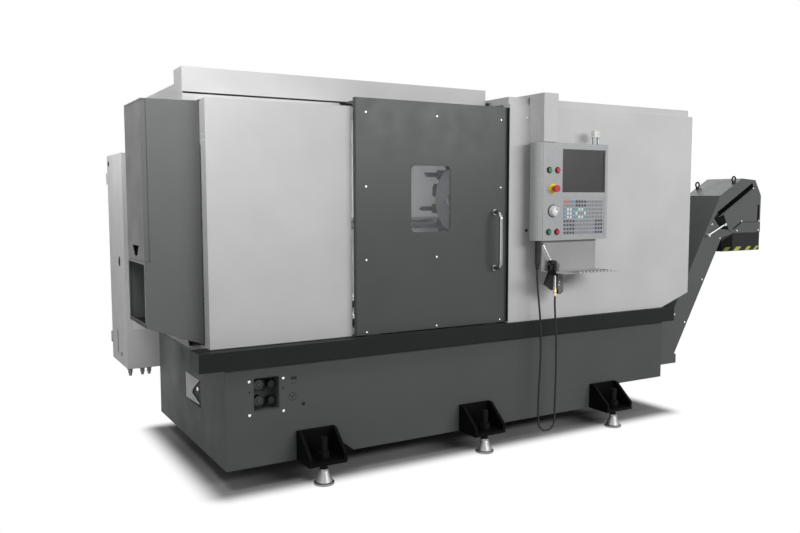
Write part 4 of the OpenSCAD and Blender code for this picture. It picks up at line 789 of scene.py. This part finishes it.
def conveyor_hardware():
    """Bolts down the conveyor's sides, eye bolts on its head, a near-black plate painted as the shadow in
    the head's recess, and the head's seams.
    """
    side, plate, skirt = HEAD_FRONT, 131, 129
    points = [(3930, plate, 1440), (3814, plate, 1207), (4003, plate, 1207), (3997, skirt, 1142),
              (3763, skirt, 1143), (3590, side, 1093), (3418, side, 813), (3152, side, 592),
              (3134, side, 560), (3255, side, 531), (3506, side, 1191)]
    screws("conveyor_bolts", "machine", "front", points, 6.5)
    rear_start = 3200
    back = [(x, HEAD_FRONT + HEAD_REAR - y, z) for x, y, z in points if x > rear_start]
    screws("conveyor_rear_bolts", "machine", "rear", back, 6.5)
    shank = [(0, -8), (13, -8), (13, 6), (10, 9), (6.5, 10), (6, 13)]
    bm = bmesh.new()
    for x, y, z in ((3742, 152, 1475), (3676, 406, 1439)):
        lathe(bm, shank, on("top", x, y, z), 24)
        torus(bm, on("front", x, y, z + 28), 18, 5.8)
    settle(bm, "eye_bolts", "black", "machine", 50)
    # Near-black plate painted as the shadow in the recess left of the head's plate
    recess = [(3524, 1231), (3553, 1199), (3606, 1156), (3676, 1150), (3619, 1256), (3572, 1240),
              (3556, 1266)]
    plates("head_recess_painted_shadow", "bracket", "machine", on("front", 0, side, 0), [recess], 0.6)
    seams = [[(3718, 1157), (3723, 1152), (3811, 1198), (3807, 1204)], bar_outline(3824, 1201, 3990, 1203),
             bar_outline(3986, 1208, 4002, 1322)]
    plates("head_seams", "bracket", "machine", on("front", 0, plate, 0), seams, 2.6)


def chute_stripes():
    """Near-black plate painted as the shadow on the chute's left part, a stripe in painted shade on it, and
    slanted stripes along its lower edge on the front, rear and end.
    """
    low, high, lean = 1.5, 29, 34

    def stripes(places):
        return [[(x, low), (x + width, low), (x + width + lean, high), (x + lean, high)]
                for x, width in places]

    front = on("front", 0, HEAD_FRONT, CHUTE_FOOT)
    # Painted shadow over the chute's left part, with a darker stripe on it as painted shade
    flank = [(3603, low), (3727, low), (3723, 118), (3603, 70)]
    flank_depth = 0.4
    plates("chute_painted_shadow", "bracket", "machine", front, [flank], flank_depth)
    above = on("front", 0, HEAD_FRONT - flank_depth, CHUTE_FOOT)
    plates("chute_stripe_painted_shade", "stripe_painted_shade", "machine", above, stripes([(3620, 54)]), 0.3)
    rows = {
        "front": (front, [(3736, 52), (3858, 40), (3952, 30)]),
        "rear": (on("rear", 0, HEAD_REAR, CHUTE_FOOT),
                 [(-4010, 46), (-3910, 46), (-3810, 46), (-3710, 46)]),
        "end": (on("right", CHUTE_END, 0, CHUTE_FOOT), [(142, 46), (236, 46), (330, 46)]),
    }
    for name, (face, places) in rows.items():
        plates("chute_stripes_" + name, "stripe", "machine", face, stripes(places), 0.5)


door_hardware()
panel_hardware()
function_signs()
gauge_faces()
cabinet_hardware()
left_end_hardware()
rear_hardware()
key_caps()
pendant_trim()
tray_hardware()
conveyor_hardware()
chute_stripes()


# Studio

# Softboxes: place and target on the machine, width and height in metres, and power
LIGHTS = {
    "top_softbox": ((1900, -240, 4800), (1900, -40, 0), (5.2, 3.4), 62),
    "left_softbox": ((-700, -600, 2500), (50, 150, 1450), (0.8, 0.8), 16),
    "side_softbox": ((-760, 1350, 2150), (-150, 1650, 1400), (0.6, 0.6), 10),
    "fill_softbox": ((-2400, -3000, 1300), (-50, 600, 800), (1.6, 1.6), 16),
    "cabinet_softbox": ((-330, 900, 520), (-100, 1400, 600), (0.3, 0.3), 0.9),
    "front_softbox": ((2900, -4040, 2450), (2500, 60, 950), (4.0, 0.9), 122),
    "end_softbox": ((4700, -1100, 3300), (3850, 250, 1300), (1.2, 1.2), 8),
    "rear_softbox": ((4912, 2140, 3469), (3700, 280, 1450), (1.5, 1.5), 22),
}

# Strength of the world's light on the object
WORLD_FILL = 0.12

# Distance from the base over which the grey floor, a painted shadow round the base on top of the real one,
# runs out into white, and the floor's half width, in metres
FLOOR_PAINTED_SHADOW_FADE = 0.15
FLOOR_HALF = 30


def softbox(name, place, target, size, power):
    data = bpy.data.lights.new(name, "AREA")
    data.shape = "RECTANGLE"
    data.size, data.size_y = size
    data.energy = power
    lamp = bpy.data.objects.new(name, data)
    lamp.location = place
    lamp.rotation_mode = "QUATERNION"
    lamp.rotation_quaternion = (Vector(target) - Vector(place)).to_track_quat("-Z", "Y")
    bpy.context.scene.collection.objects.link(lamp)


def make_lights():
    """Softboxes round the machine, and the lamp in its work chamber beside the headstock's guard."""
    for name, (place, target, size, power) in LIGHTS.items():
        softbox(name, at(*place), at(*target), size, power)
    low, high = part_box("headstock_guard")
    lamp_x = high.x + 0.45
    lamp_y = low.y + 0.35
    softbox("work_lamp", (lamp_x, lamp_y, high.z - 0.05), (lamp_x + 0.3, lamp_y + 0.3, 1.2), (0.5, 0.1), 11)


def seen(tree):
    """Socket that is 1 for what the camera sees, also in a reflection or through glass."""
    path = tree.nodes.new("ShaderNodeLightPath")
    ray = path.outputs["Is Camera Ray"]
    for kind in ("Is Glossy Ray", "Is Transmission Ray"):
        either = tree.nodes.new("ShaderNodeMath")
        either.operation = "MAXIMUM"
        tree.links.new(ray, either.inputs[0])
        tree.links.new(path.outputs[kind], either.inputs[1])
        ray = either.outputs[0]
    return ray


def make_world():
    """White for the eye and for reflections; a softer fill for the lighting itself."""
    world = bpy.data.worlds.new("studio")
    bpy.context.scene.world = world
    world.use_nodes = True
    tree = world.node_tree
    background = tree.nodes["Background"]
    background.inputs["Color"].default_value = (1, 1, 1, 1)
    level = tree.nodes.new("ShaderNodeMapRange")
    level.inputs["To Min"].default_value = WORLD_FILL
    level.inputs["To Max"].default_value = 1.0
    tree.links.new(seen(tree), level.inputs["Value"])
    tree.links.new(level.outputs["Result"], background.inputs["Strength"])


def floor_material():
    """Grey floor that takes the real shadow round the base and is also darker there as a painted shadow,
    and runs out into white further off.
    """
    look = Look("floor", Specular_IOR_Level=0.1, Roughness=0.9)
    # Mid grey where the floor meets the base, a painted shadow that the white blend keeps to the base's
    # surround
    look.colour(look.noise(1.5, 3), srgb(150, 150, 150), srgb(156, 156, 156))
    low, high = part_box("base_skirt")
    middle = (low + high) / 2
    half = (high - low) / 2
    outside = look.place
    for operation, value in (("SUBTRACT", (middle.x, middle.y, 0)), ("ABSOLUTE", (0, 0, 0)),
                             ("SUBTRACT", (half.x, half.y, 0)), ("MAXIMUM", (0, 0, 0))):
        step = look.add("ShaderNodeVectorMath", operation=operation)
        step.inputs[1].default_value = value
        look.link(outside, step.inputs[0])
        outside = step.outputs["Vector"]
    distance = look.add("ShaderNodeVectorMath", operation="LENGTH")
    look.link(outside, distance.inputs[0])
    far = look.add("ShaderNodeMapRange", interpolation_type="SMOOTHSTEP")
    far.inputs["From Min"].default_value = 0.0
    far.inputs["From Max"].default_value = FLOOR_PAINTED_SHADOW_FADE
    look.link(distance.outputs["Value"], far.inputs["Value"])
    blend = look.add("ShaderNodeMath", operation="MULTIPLY")
    look.link(seen(look.tree), blend.inputs[0])
    look.link(far.outputs["Result"], blend.inputs[1])
    white = look.add("ShaderNodeEmission")
    mix = look.add("ShaderNodeMixShader")
    look.link(blend.outputs[0], mix.inputs["Fac"])
    look.link(look.shader.outputs["BSDF"], mix.inputs[1])
    look.link(white.outputs["Emission"], mix.inputs[2])
    look.link(mix.outputs["Shader"], look.tree.nodes["Material Output"].inputs["Surface"])
    return look.material


def make_floor():
    bm = bmesh.new()
    bmesh.ops.create_grid(bm, x_segments=1, y_segments=1, size=FLOOR_HALF)
    mesh = bpy.data.meshes.new("floor")
    bm.to_mesh(mesh)
    bm.free()
    mesh.materials.append(floor_material())
    floor = bpy.data.objects.new("floor", mesh)
    bpy.context.scene.collection.objects.link(floor)


make_lights()
make_world()
make_floor()
bpy.context.scene.view_settings.view_transform = "Standard"
